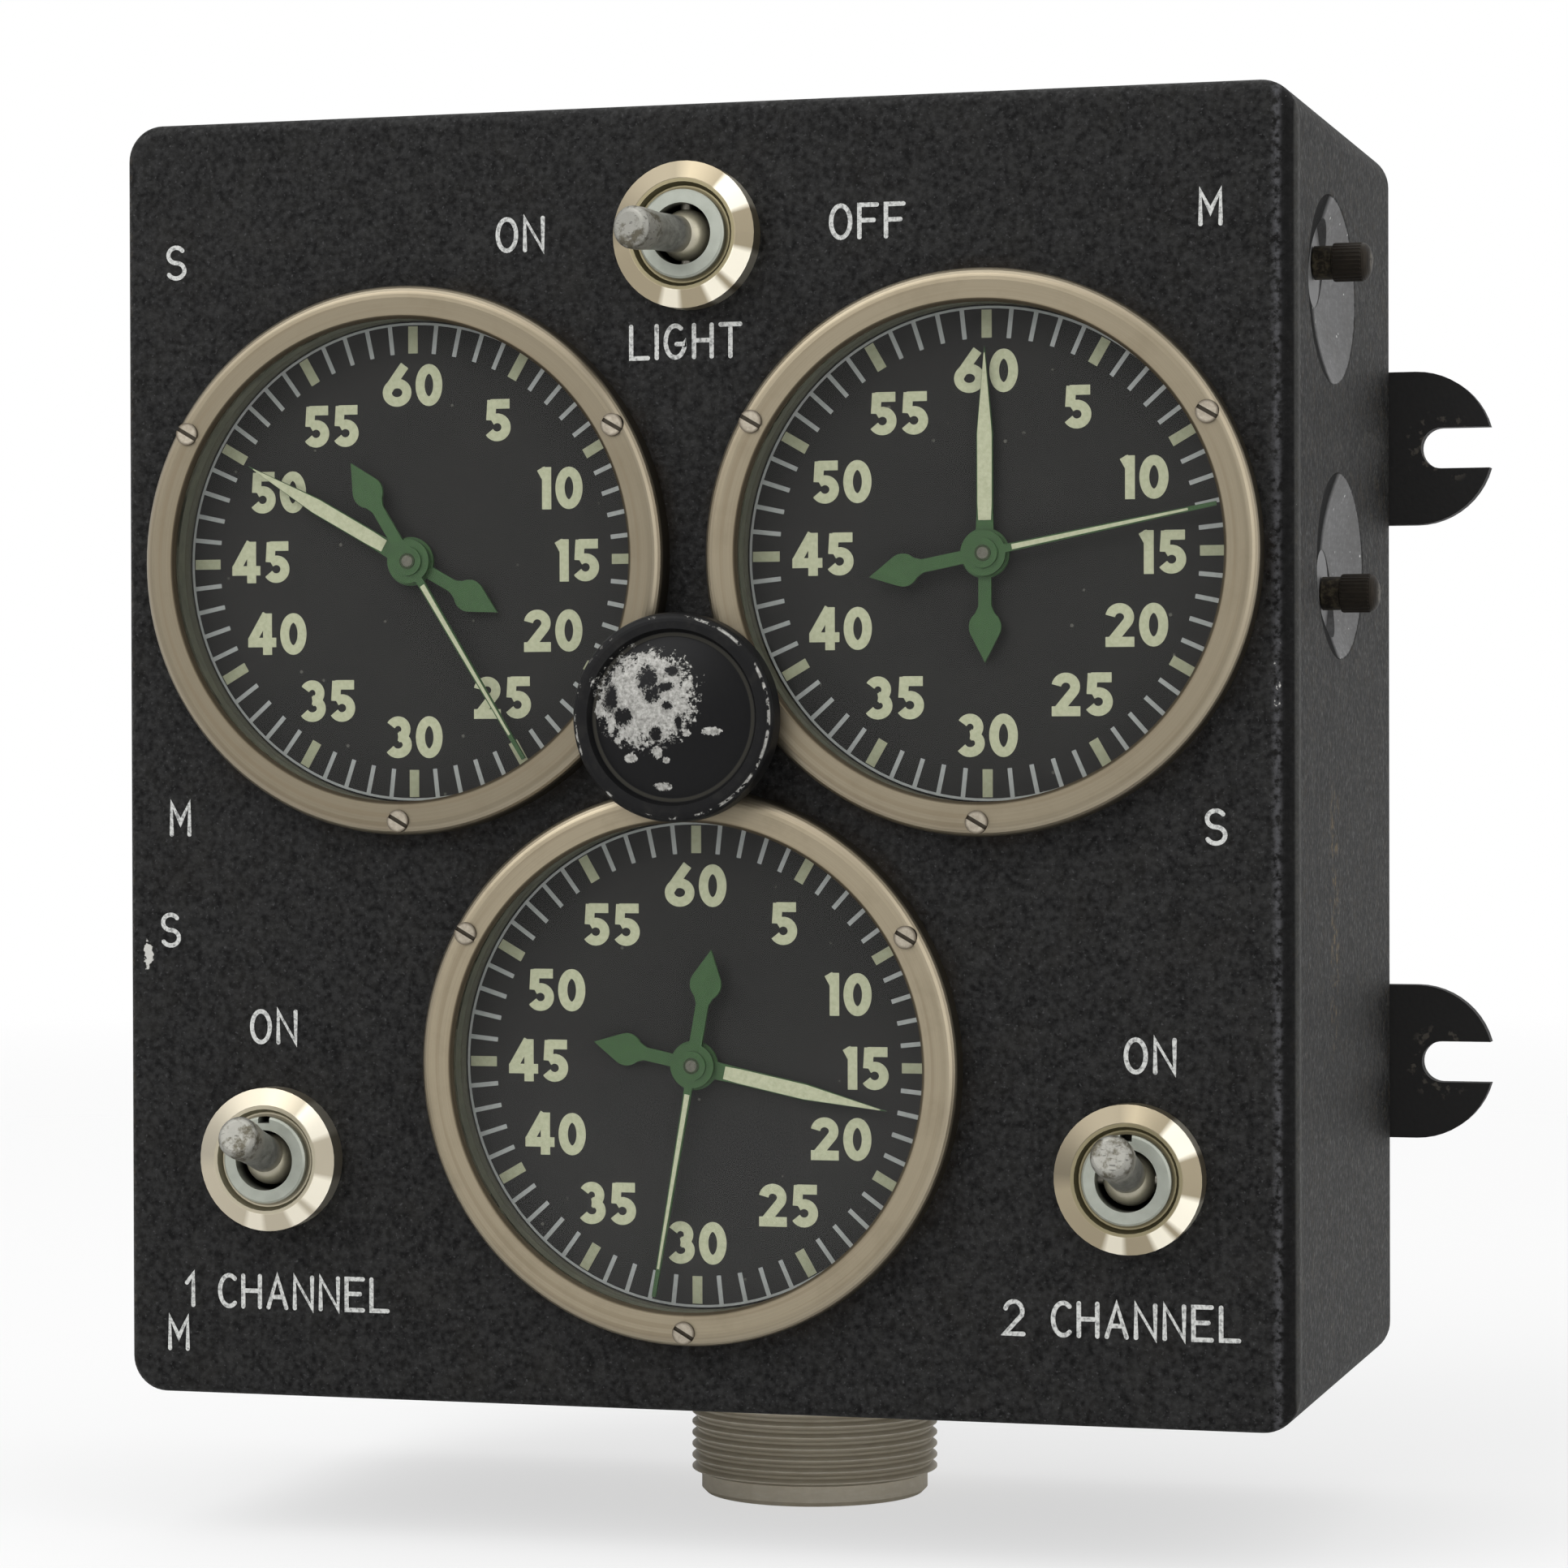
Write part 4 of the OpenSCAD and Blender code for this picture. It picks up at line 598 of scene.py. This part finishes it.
# Numbers on a grid 1 high; strokes run from centre to centre.
number_strokes = {
    "0": [bow(0.338, 0.5, 0.224, 0.386, 0, 360, 32)],
    "1": [[(0.21, 0), (0.21, 1)], [(0.03, 0.82), (0.21, 0.92)]],
    "2": [bow(0.33, 0.68, 0.22, 0.206, 172, -35, 16) + [(0.14, 0.12)], [(0.0, 0.114), (0.67, 0.114)]],
    "3": [bow(0.3, 0.69, 0.2, 0.196, 152, -88, 16), bow(0.3, 0.32, 0.234, 0.206, 88, -150, 16)],
    "4": [[(0.48, 0.98), (0.09, 0.32)], [(0, 0.3), (0.724, 0.3)], [(0.5, 0), (0.5, 1)]],
    "5": [[(0.14, 0.886), (0.62, 0.886)], [(0.18, 0.98), (0.15, 0.5)],
          bow(0.31, 0.33, 0.224, 0.216, 130, -150, 18)],
    "6": [bow(0.366, 0.335, 0.25, 0.221, 0, 360, 28),
          [(0.56, 0.98), (0.38, 0.74), (0.22, 0.52), (0.125, 0.38)]],
}
number_widths = {"0": 0.676, "1": 0.324, "2": 0.676, "3": 0.648, "4": 0.724, "5": 0.648, "6": 0.733}


def dial_stroke(mesh, points, width, rise):
    """Prints one stroke on a dial."""
    ribbon(mesh, points, width * MM, dial_y - rise * MM, dial_y + print_sink * MM, False)


def radial_mark(mesh, x_mid, z_mid, angle, inner, outer, width, rise):
    """One tick along a radius; the angle runs clockwise from 60."""
    s, c = math.sin(angle), math.cos(angle)
    ends = [((x_mid + r * s) * MM, (z_mid + r * c) * MM) for r in (inner, outer)]
    dial_stroke(mesh, ends, width, rise)


def print_number(mesh, words, x_mid, z_mid):
    """Paints a one- or two-figure number, upright and centred on a point."""
    total = sum(number_widths[c] for c in words) + number_gap * (len(words) - 1)
    x = x_mid - total * number_h / 2
    for figure in words:
        for number, stroke in enumerate(number_strokes[figure]):
            points = [((x + px * number_h) * MM, (z_mid + (pz - 0.5) * number_h) * MM) for px, pz in stroke]
            dial_stroke(mesh, points, number_w, number_rise + stroke_step * number)
        x += (number_widths[figure] + number_gap) * number_h


for side, (x_mid, z_mid) in dial_middles.items():
    scale_print = bmesh.new()
    circle = bow(x_mid, z_mid, circle_r, circle_r, 0, 360, circle_steps)
    ring_points = [(x * MM, z * MM) for x, z in circle]
    ring_points[-1] = ring_points[0]
    dial_stroke(scale_print, ring_points, circle_w, circle_rise)
    numbers = bmesh.new()
    for minute in range(60):
        angle = math.radians(6 * minute)
        if minute % 5:
            radial_mark(scale_print, x_mid, z_mid, angle, tick_in, circle_r, tick_w, tick_rise)
        else:
            radial_mark(numbers, x_mid, z_mid, angle, five_in, five_out, five_w, five_rise)
            right, up = number_places[minute or 60]
            print_number(numbers, str(minute or 60), x_mid + right, z_mid + up)
    as_piece(scale_print, side + "_scale_print", print_white, "case")
    as_piece(numbers, side + "_numbers", lume_cream, "case")

# Hands. Stamped from 0.4 mm sheet and enamelled green; the pointer has a luminous inlay.
# The minute hand sits on a pipe, the second hand on the arbor inside it.
hand_green = Finish("hand_green")
hand_grain = hand_green.grain(0.8, detail=3.0)
hand_green.set(Base_Color=hand_grain.blend(colour(33, 68, 25), colour(46, 85, 36)),
               Roughness=0.5,
               Normal=hand_green.relief(hand_grain, 0.03, 0.4))
for side in dial_middles:
    hand_green.cover(side + "_minute_hand", side + "_second_hand")

hand_t = 0.4
minute_y = corners("lower_minute_hand")[1].y - hand_t
second_y = corners("lower_second_hand")[1].y - hand_t
# minute and second hand of each dial, in degrees clockwise from 60
hand_angles = {"left": (299.5, 148.5), "right": (0, 79), "lower": (102, 190)}
# half outline of the luminous inlay, as distance along the hand and half width
inlay_outlines = {"minute": ((4.0, 0.78), (6.0, 0.88), (14.5, 0.9), (24.2, 0.06)),
                  "second": ((3.6, 0.32), (25.5, 0.14))}
inlay_rise, inlay_sink = 0.07, 0.02
for side, (x_mid, z_mid) in dial_middles.items():
    for kind, angle, face in zip(("minute", "second"), hand_angles[side], (minute_y, second_y)):
        inlay = bmesh.new()
        s, c = math.sin(math.radians(angle)), math.cos(math.radians(angle))
        half = inlay_outlines[kind]
        outline = list(half) + [(r, -w) for r, w in reversed(half)]
        flat = [((x_mid + r * s + w * c) * MM, (z_mid + r * c - w * s) * MM) for r, w in outline]
        front, back = [[inlay.verts.new((x, y * MM, z)) for x, z in flat]
                       for y in (face - inlay_rise, face + inlay_sink)]
        inlay.faces.new(front)
        inlay.faces.new(back[::-1])
        band(inlay, front, back)
        as_piece(inlay, f"{side}_{kind}_inlay", lume_cream, f"{side}_{kind}_pointer")

# Arbors, transfer gears and movement frames. Lacquered brass plates, wheels and minute pipes,
# and steel second arbors. Their ends carry the hands, and only the middle of each end is bare.
brass = Finish("movement_brass")
brass_grain = brass.grain(1.2, detail=3.0, stretch=(1, 1, 6))
brass.set(Base_Color=brass_grain.blend(colour(178, 142, 78), colour(214, 180, 112)),
          Metallic=1.0,
          Roughness=0.3 + 0.15 * brass_grain,
          Normal=brass.relief(brass_grain, 0.02, 0.3))
brass.cover("left_movement_frame", "right_movement_frame", "lower_movement_frame",
            "left_minute_arbor", "right_minute_arbor", "lower_minute_arbor",
            "left_transfer_gear", "right_transfer_gear",
            "lower_minute_transfer_gear", "lower_second_transfer_gear")
arbor_steel = Finish("arbor_steel")
arbor_grain = arbor_steel.grain(0.4, detail=2.0)
pin_r = arbor_steel.nearest(dial_middles.values())
bare_pin_r = 0.65
arbor_colour = arbor_grain.blend(colour(78, 78, 72), colour(124, 121, 112))
arbor_colour = (pin_r.above(bare_pin_r, 0.1) * 0.8).blend(arbor_colour, colour(40, 58, 34))
arbor_steel.set(Base_Color=arbor_colour, Metallic=1.0, Roughness=0.42 + 0.15 * arbor_grain)
arbor_steel.cover("left_second_arbor", "right_second_arbor", "lower_second_arbor")

# Drive motors. Cans of dull alloy behind the movements, each held by long screws
# through its movement's frame.
can = Finish("motor_alloy")
can_grain = can.grain(0.9, detail=3.0, stretch=(1, 5, 1))
can.set(Base_Color=can_grain.blend(colour(120, 121, 122), colour(158, 159, 160)),
        Metallic=1.0, Roughness=0.45 + 0.15 * can_grain)
can.cover("left_drive_motor", "right_drive_motor", "lower_drive_motor")

# Switches. Brown phenolic bodies, whose bushings come through the panel;
# the bushing's face is pale plated metal, and a turned nut holds it down.
phenolic = Finish("brown_phenolic")
panel_t = 2.5
mouth_y = corners("left_switch_body")[0].y
bushing_part = (phenolic.y - front_y - panel_t).below(-0.02, 0.02)
phenolic_grain = phenolic.grain(1.4, detail=4.0)
phenolic_colour = phenolic_grain.blend(colour(48, 28, 20), colour(74, 44, 30))
bushing_colour = phenolic_grain.blend(colour(142, 146, 136), colour(170, 173, 164))
# painted shade: the bushing darkens deeper into its bore
bore_shade = (phenolic.y - mouth_y).above(0.3, 2.2)
bushing_colour = bore_shade.blend(bushing_colour, colour(40, 36, 30))
phenolic.set(Base_Color=bushing_part.blend(phenolic_colour, bushing_colour),
             Metallic=bushing_part * 0.8,
             Roughness=0.38 + 0.2 * phenolic_grain,
             Normal=phenolic.relief(phenolic_grain, 0.03, 0.3))
phenolic.cover("top_switch_body", "left_switch_body", "right_switch_body")

nut = Finish("turned_nickel")
turned_r = nut.nearest([middle(side + "_switch_body") for side in ("top", "left", "right")])
switch_x = middle("right_switch_body")[0]
top_z, low_z = middle("top_switch_body")[1], middle("left_switch_body")[1]
# place on the nearest of the three nuts
local_x = nut.x - switch_x * nut.x.above(switch_x / 2, 0.1) + switch_x * nut.x.below(-switch_x / 2, 0.1)
local_z = nut.z - low_z - (top_z - low_z) * nut.z.above(0.0, 0.1)
around = nut.place.math("ARCTAN2", local_x, local_z)
turn_lines = nut.noise(nut.joined(turned_r * 9.0, 0.0, 0.0), 3.0, 0.7)
# painted highlights in wedge shapes, where turned faces would shine: middle and half width in degrees
# clockwise from the top, strength
nut_highlight_wedges = ((53, 13, 1.0), (119, 12, 1.0), (149, 6, 0.9), (-169, 6, 0.7))
wedge_soft, dark_side_toward, dark_side_half, dark_side_soft = [math.radians(d) for d in (5, 46, 40, 14)]
wedge_highlights = None
for toward, half_wide, strength in nut_highlight_wedges:
    near = abs(around - math.radians(toward)).below(math.radians(half_wide), wedge_soft) * strength
    wedge_highlights = near if wedge_highlights is None else wedge_highlights.most(near)
bevel_r, nut_bore_r = 6.75, 5.7
bevel_part = turned_r.above(bevel_r, 0.1)
nut_metal = turn_lines.blend(colour(122, 114, 88), colour(158, 149, 120))
# painted light: the left nut is lightened as a brighter-lit copy of the same nickel
painted_lit_nut = nut.x.below(-switch_x / 2, 0.1)
nut_bevel = wedge_highlights.blend(colour(158, 147, 124), colour(250, 244, 226))
# painted shade: the upper left of each nut's bevel is darkened against the key lamp's reflection
painted_dark_side = abs(around + dark_side_toward).below(dark_side_half, dark_side_soft)
nut_bevel = (painted_dark_side * 0.8).blend(nut_bevel, colour(112, 105, 90))
nut_metal = bevel_part.blend(nut_metal, nut_bevel)
nut_metal = (painted_lit_nut * 0.4).blend(nut_metal, colour(216, 209, 192))
# painted shade in the inner cove round the bushing
nut_metal = (turned_r.below(nut_bore_r, 0.1) * 0.6).blend(nut_metal, colour(66, 60, 46))
nut.set(Base_Color=nut_metal, Metallic=1.0,
        Roughness=0.42,
        Normal=nut.relief(turn_lines, 0.02, 0.4))
nut.cover("switch_dress_nuts")

# Switch levers. Turned levers with a ball root and a flat tip, which swing on pins in the bushings.
# Their nickel is dulled and scratched, with brown patches at the tip.
lever = Finish("lever_nickel")
lever_grain = lever.grain(0.8, detail=4.0, rough=0.7)
lever_patch = lever.grain(2.2, detail=4.0, rough=0.7).above(0.5, 0.12)
tip_from, lit_root_to = 5.6, -1.5
lever_tip = (mouth_y - lever.y).above(tip_from, 1.0)
lever_nick = lever.grain(0.35, detail=2.0, stretch=(4, 1, 1)).above(0.62, 0.06) * (0.2 + 0.8 * lever_tip)
lever_metal = lever_grain.above(0.3, 0.4).blend(colour(104, 104, 100), colour(146, 146, 141))
tip_metal = lever_patch.blend(colour(140, 139, 132), colour(84, 80, 68))
lever_metal = lever_tip.blend(lever_metal, tip_metal)
# painted highlight: the ball root inside the bushing is lightened
lever_metal = (lever.y - mouth_y).above(lit_root_to, 2.0).blend(lever_metal, colour(176, 170, 150))
lever.set(Base_Color=(lever_nick * 0.6).blend(lever_metal, colour(56, 54, 50)),
          Metallic=0.7,
          Roughness=0.3 + 0.16 * lever_grain + 0.14 * lever_tip,
          Normal=lever.relief((lever_grain + lever_nick * 0.5) * (0.3 + 0.7 * lever_tip), 0.06, 0.6))
lever.cover("top_switch_lever", "left_switch_lever", "right_switch_lever")

# Lamp cap. A turned alloy cap in black lacquer over the joint of the three bezels.
# Thumbs have worn a ragged patch of bare metal in its middle, and chipped its rim.
cap_x, cap_z = middle("lamp_cap")
cap = Finish("cap_black")
cap_grain = cap.grain(0.7, detail=5.0, rough=0.72)
tear = cap.grain(1.0, detail=6.0, rough=0.8)
ragged = (tear - 0.5) * 3.6
fine_ragged = (cap.grain(0.5, detail=5.0, rough=0.8) - 0.5) * 4.5
patch_x, patch_z, patch_half_w, patch_half_h = -3.1, 2.2, 6.3, 5.8
bare_patch = cap.spot(patch_x, cap_z + patch_z, patch_half_w, patch_half_h, ragged)
# black left in the patch, and bare spots round it: middle from the cap's middle, half sizes
black_islets = ((-2.9, 4.6, 1.2, 1.4), (-7.7, 2.3, 0.8, 1.6), (-0.7, 3.7, 1.1, 0.5),
                (-0.3, 1.4, 0.6, 0.5), (-2.3, 2.8, 1.1, 0.9), (-1.8, -2.0, 0.7, 0.8),
                (1.1, -0.6, 0.4, 0.9), (-6.2, 0.0, 1.2, 1.0), (0.2, 5.6, 0.8, 0.6))
bare_islets = ((-9.4, 1.0, 0.45, 1.1), (-7.7, -0.9, 0.6, 1.3), (-6.9, -2.8, 0.45, 0.4),
               (-5.2, -4.9, 0.85, 0.55), (5.2, -1.7, 1.15, 0.5), (-1.2, -8.4, 1.1, 0.55),
               (-1.7, -4.2, 0.7, 0.8), (-0.6, -5.2, 0.5, 0.4), (2.1, -1.9, 0.5, 0.45))
for x, z, wide, high in black_islets:
    bare_patch = bare_patch.least(cap.spot(x, cap_z + z, wide, high, fine_ragged + ragged) * -1.0)
for x, z, wide, high in bare_islets:
    bare_patch = bare_patch.most(cap.spot(x, cap_z + z, wide, high, fine_ragged))
rim_in_r, rim_out_r, groove_in_r, groove_out_r, skirt_r = 12.05, 12.35, 9.8, 10.2, 10.4
cap_r = cap.radius(cap_x, cap_z)
cap_around = cap.place.math("ARCTAN2", cap.x - cap_x, cap.z - cap_z)
rim_part = cap_r.above(rim_in_r, 0.1) * cap_r.below(rim_out_r, 0.1)
rim_noise = cap.grain(2.2, detail=4.0, rough=0.7)
# most chips are on the right, between these angles in radians clockwise from the top
chips_from, chips_to = 0.25, 2.9
right_side = cap_around.above(chips_from, 0.05) * cap_around.below(chips_to, 0.1)
rim_chip = (rim_noise + 0.12 * right_side).above(0.58, 0.04) * rim_part
cap_bare = bare_patch.above(0.02, 0.12).most(rim_chip)
groove_dust = cap_r.above(groove_in_r, 0.1) * cap_r.below(groove_out_r, 0.15)
cap_black = cap_grain.blend(colour(7, 7, 8), colour(16, 16, 17))
cap_black = (groove_dust * 0.5).blend(cap_black, colour(62, 60, 52))
skirt_dust = cap_r.above(skirt_r + 0.2, 0.3) * rim_noise.above(0.5, 0.2)
cap_black = (skirt_dust * 0.4).blend(cap_black, colour(38, 37, 34))
cap_metal_grain = cap.grain(0.5, detail=4.0, rough=0.7).above(0.3, 0.4)
cap_metal = cap_metal_grain.blend(colour(106, 105, 101), colour(184, 183, 178))
cap.set(Base_Color=cap_bare.blend(cap_black, cap_metal),
        Metallic=cap_bare * 0.4,
        Roughness=0.42 + 0.2 * cap_bare + 0.1 * cap_r.above(skirt_r, 0.4),
        Specular_IOR_Level=0.14,
        Normal=cap.relief(cap_grain * 0.2 - cap_bare, 0.08, 0.6))
cap.cover("lamp_cap")

# Lamp holder and bulb. A nickelled tube through the panel, with windows towards the dials,
# and a small bayonet bulb in it.
holder = Finish("holder_nickel")
holder_grain = holder.grain(0.8, detail=3.0)
holder.set(Base_Color=holder_grain.blend(colour(140, 130, 112), colour(182, 170, 148)),
           Metallic=1.0, Roughness=0.35 + 0.15 * holder_grain)
holder.cover("lamp_holder")
bulb = Finish("bulb_glass")
bulb.set(Base_Color=bulb.grain(2.0).blend(colour(214, 210, 196), colour(236, 233, 222)),
         Roughness=0.12, Coat_Weight=1.0)
bulb.cover("lamp_bulb")

# Connector. A turned receptacle with a coupling thread and a plain nose; its nickel has gone
# warm and dull, with painted shade between the crests. Inside are a phenolic block with gilt contacts,
# the terminal board and lacquered wires.
plug = Finish("connector_nickel")
plug_middle_y, nose_len, valley_r = -25.0, 2.7, 15.95
plug_y = plug.y - plug_middle_y
plug_r = plug.place.math("SQRT", plug.x * plug.x + plug_y * plug_y)
plug_grain = plug.grain(2.2, detail=4.0, rough=0.65)
plug_fine = plug.grain(0.5, detail=2.0, stretch=(4, 4, 1))
nose_top = corners("connector_shell")[0].z + nose_len
# painted shade between the thread crests
valley_shade = plug_r.below(valley_r, 0.4) * (plug.z - nose_top).above(0.0, 0.2)
plug_metal = plug_grain.blend(colour(206, 196, 174), colour(238, 229, 210))
plug_metal = (plug_fine.above(0.5, 0.2) * 0.35).blend(plug_metal, colour(238, 232, 218))
plug_metal = (valley_shade * 0.5).blend(plug_metal, colour(132, 122, 98))
plug.set(Base_Color=plug_metal, Metallic=0.12,
         Roughness=0.4 + 0.2 * plug_grain,
         Normal=plug.relief(plug_fine + plug_grain * 0.5, 0.04, 0.5))
plug.cover("connector_shell")
phenolic_plain = Finish("plain_phenolic")
plain_grain = phenolic_plain.grain(1.2, detail=4.0)
phenolic_plain.set(Base_Color=plain_grain.blend(colour(46, 28, 20), colour(72, 46, 32)),
                   Roughness=0.4 + 0.2 * plain_grain)
phenolic_plain.cover("connector_insert", "terminal_board")
gilt = Finish("gilt_contacts")
gilt.set(Base_Color=gilt.grain(0.5).blend(colour(196, 160, 84), colour(228, 196, 122)),
         Metallic=1.0, Roughness=0.25)
gilt.cover("connector_contacts")
wire = Finish("wire_lacquer")
wire_grain = wire.grain(0.8, detail=2.0)
wire.set(Base_Color=wire_grain.blend(colour(96, 26, 22), colour(140, 44, 34)),
         Roughness=0.45 + 0.2 * wire_grain)
wire.cover("wiring_harness")

# Setting crowns. Blackened brass with a fine straight knurl, lighter at the end.
# Their bushes are bare alloy rings, set flush in the finger dishes.
crown_black = Finish("crown_black")
crown_grain = crown_black.grain(0.7, detail=4.0, rough=0.7)
crown_end_x, neck_end_x = 79.75, 75.0
crown_end = (abs(crown_black.x) - crown_end_x).above(0.0, 0.2)
neck_part = abs(crown_black.x).below(neck_end_x, 0.3)
crown_metal = crown_grain.blend(colour(24, 22, 20), colour(52, 46, 38))
crown_metal = (neck_part * crown_grain.above(0.46, 0.2) * 0.8).blend(crown_metal, colour(78, 72, 56))
crown_metal = (crown_end * crown_grain.above(0.42, 0.1) * 0.7).blend(crown_metal, colour(120, 116, 108))
crown_black.set(Base_Color=crown_metal, Metallic=0.85,
                Roughness=0.4 + 0.25 * crown_grain,
                Normal=crown_black.relief(crown_grain, 0.05, 0.5))
crown_sides = {"right_minute": 1, "right_second": 1, "left_second": -1,
               "left_minute": -1, "lower_second": -1, "lower_minute": -1}
knurl_count, knurl_out, knurl_in = 28, 2.42, 2.3
# distance of each ring of the knurl from the case's middle, and how much it is chamfered
knurl_rings = ((75.25, 0.06), (75.4, 0.0), (78.7, 0.0), (78.9, 0.1))
for name, side in crown_sides.items():
    crown_black.cover(name + "_crown")
    low, high = corners(name + "_crown")
    y_mid, z_mid = (low.y + high.y) / 2, (low.z + high.z) / 2
    knurl = bmesh.new()
    rings = []
    for x, shrink in knurl_rings:
        ring = []
        for i in range(2 * knurl_count):
            angle = math.pi * i / knurl_count
            r = (knurl_out if i % 2 == 0 else knurl_in) - shrink
            ring.append(knurl.verts.new((side * x * MM, (y_mid + r * math.cos(angle)) * MM,
                                         (z_mid + r * math.sin(angle)) * MM)))
        rings.append(ring)
    for near, far in zip(rings, rings[1:]):
        band(knurl, near, far)
    knurl.faces.new(rings[0])
    knurl.faces.new(rings[-1])
    as_piece(knurl, name + "_knurl", crown_black, name + "_setting")
bush = Finish("bush_alloy")
bush_grain = bush.grain(0.4, detail=2.0)
bush.set(Base_Color=bush_grain.blend(colour(96, 96, 97), colour(150, 150, 150)),
         Metallic=0.6, Roughness=0.4 + 0.2 * bush_grain,
         Normal=bush.relief(bush_grain, 0.03, 0.5))
bush.cover("crown_bushes")

# Studio. A pale floor that fades into a white background, and three large soft lamps:
# the key from the upper left, a weaker one from the right and one from above.
timer_middle = Vector((0, -0.04, 0))
floor_gap, floor_r, floor_corners, floor_grey = 0.0002, 1.4, 96, 0.86
floor_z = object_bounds()[0][2] - floor_gap
floor_mesh = bmesh.new()
bmesh.ops.create_circle(floor_mesh, cap_ends=True, segments=floor_corners, radius=floor_r)
floor_data = bpy.data.meshes.new("floor")
floor_mesh.to_mesh(floor_data)
floor_mesh.free()
floor = bpy.data.objects.new("floor", floor_data)
floor.location = (timer_middle.x, timer_middle.y, floor_z)
bpy.context.scene.collection.objects.link(floor)
pale = Finish("pale_floor")
tree = pale.material.node_tree
pale.set(Base_Color=(floor_grey, floor_grey, floor_grey, 1), Roughness=0.9, Specular_IOR_Level=0.1)
seen = pale.place.node("ShaderNodeLightPath", {}, {})
paper = pale.place.node("ShaderNodeEmission", {}, {"Color": (1, 1, 1, 1), "Strength": 1.0})
lit = Socket(tree, pale.shader.outputs[0])
paper_share, fade_from, fade_over = 0.62, 220.0, 900.0
for_camera = pale.place.node("ShaderNodeMixShader", {}, {0: paper_share, 1: lit, 2: paper})
ground = pale.place.node("ShaderNodeMixShader", {}, {0: seen, 1: lit, 2: for_camera})
away = pale.place.math("SQRT", pale.x * pale.x + pale.y * pale.y).above(fade_from, fade_over)
nothing = pale.place.node("ShaderNodeBsdfTransparent", {}, {})
faded = pale.place.node("ShaderNodeMixShader", {}, {0: away, 1: ground, 2: nothing})
tree.links.new(faded.link, tree.nodes["Material Output"].inputs["Surface"])
floor_data.materials.append(pale.material)

world = bpy.data.worlds.new("studio")
bpy.context.scene.world = world
world.use_nodes = True
sky = world.node_tree
glow = sky.nodes["Background"]
path = sky.nodes.new("ShaderNodeLightPath")
direct = Socket(sky, path.outputs["Is Camera Ray"])
mirrored = Socket(sky, path.outputs["Is Glossy Ray"])
passed = Socket(sky, path.outputs["Is Transmission Ray"])
# in reflections the room in front and behind is dimmer than its sides
heading = sky.nodes.new("ShaderNodeTexCoord")
parts = sky.nodes.new("ShaderNodeSeparateXYZ")
sky.links.new(heading.outputs["Generated"], parts.inputs[0])
lengthwise = abs(Socket(sky, parts.outputs["Y"])).above(0.2, 0.75)
fill_light, front_dimming = 0.48, 0.62
bright = direct.most(mirrored * (1 - front_dimming * lengthwise)).most(passed)
sky.links.new((bright * (1 - fill_light) + fill_light).link, glow.inputs["Strength"])
glow.inputs["Color"].default_value = (1, 1, 1, 1)


def soft_lamp(name, place, power, size):
    """A square soft box that looks at the timer."""
    lamp_data = bpy.data.lights.new(name, "AREA")
    lamp_data.energy = power
    lamp_data.size = size
    lamp_object = bpy.data.objects.new(name, lamp_data)
    lamp_object.location = place
    toward = timer_middle - Vector(place)
    lamp_object.rotation_euler = toward.to_track_quat("-Z", "Y").to_euler()
    bpy.context.scene.collection.objects.link(lamp_object)


soft_lamp("key_lamp", (-0.55, -0.95, 0.85), 13.5, 1.2)
soft_lamp("side_lamp", (0.95, -0.55, 0.35), 4.2, 1.1)
soft_lamp("top_lamp", (0.1, 0.1, 1.1), 6.0, 1.5)

bpy.context.scene.view_settings.view_transform = "Standard"
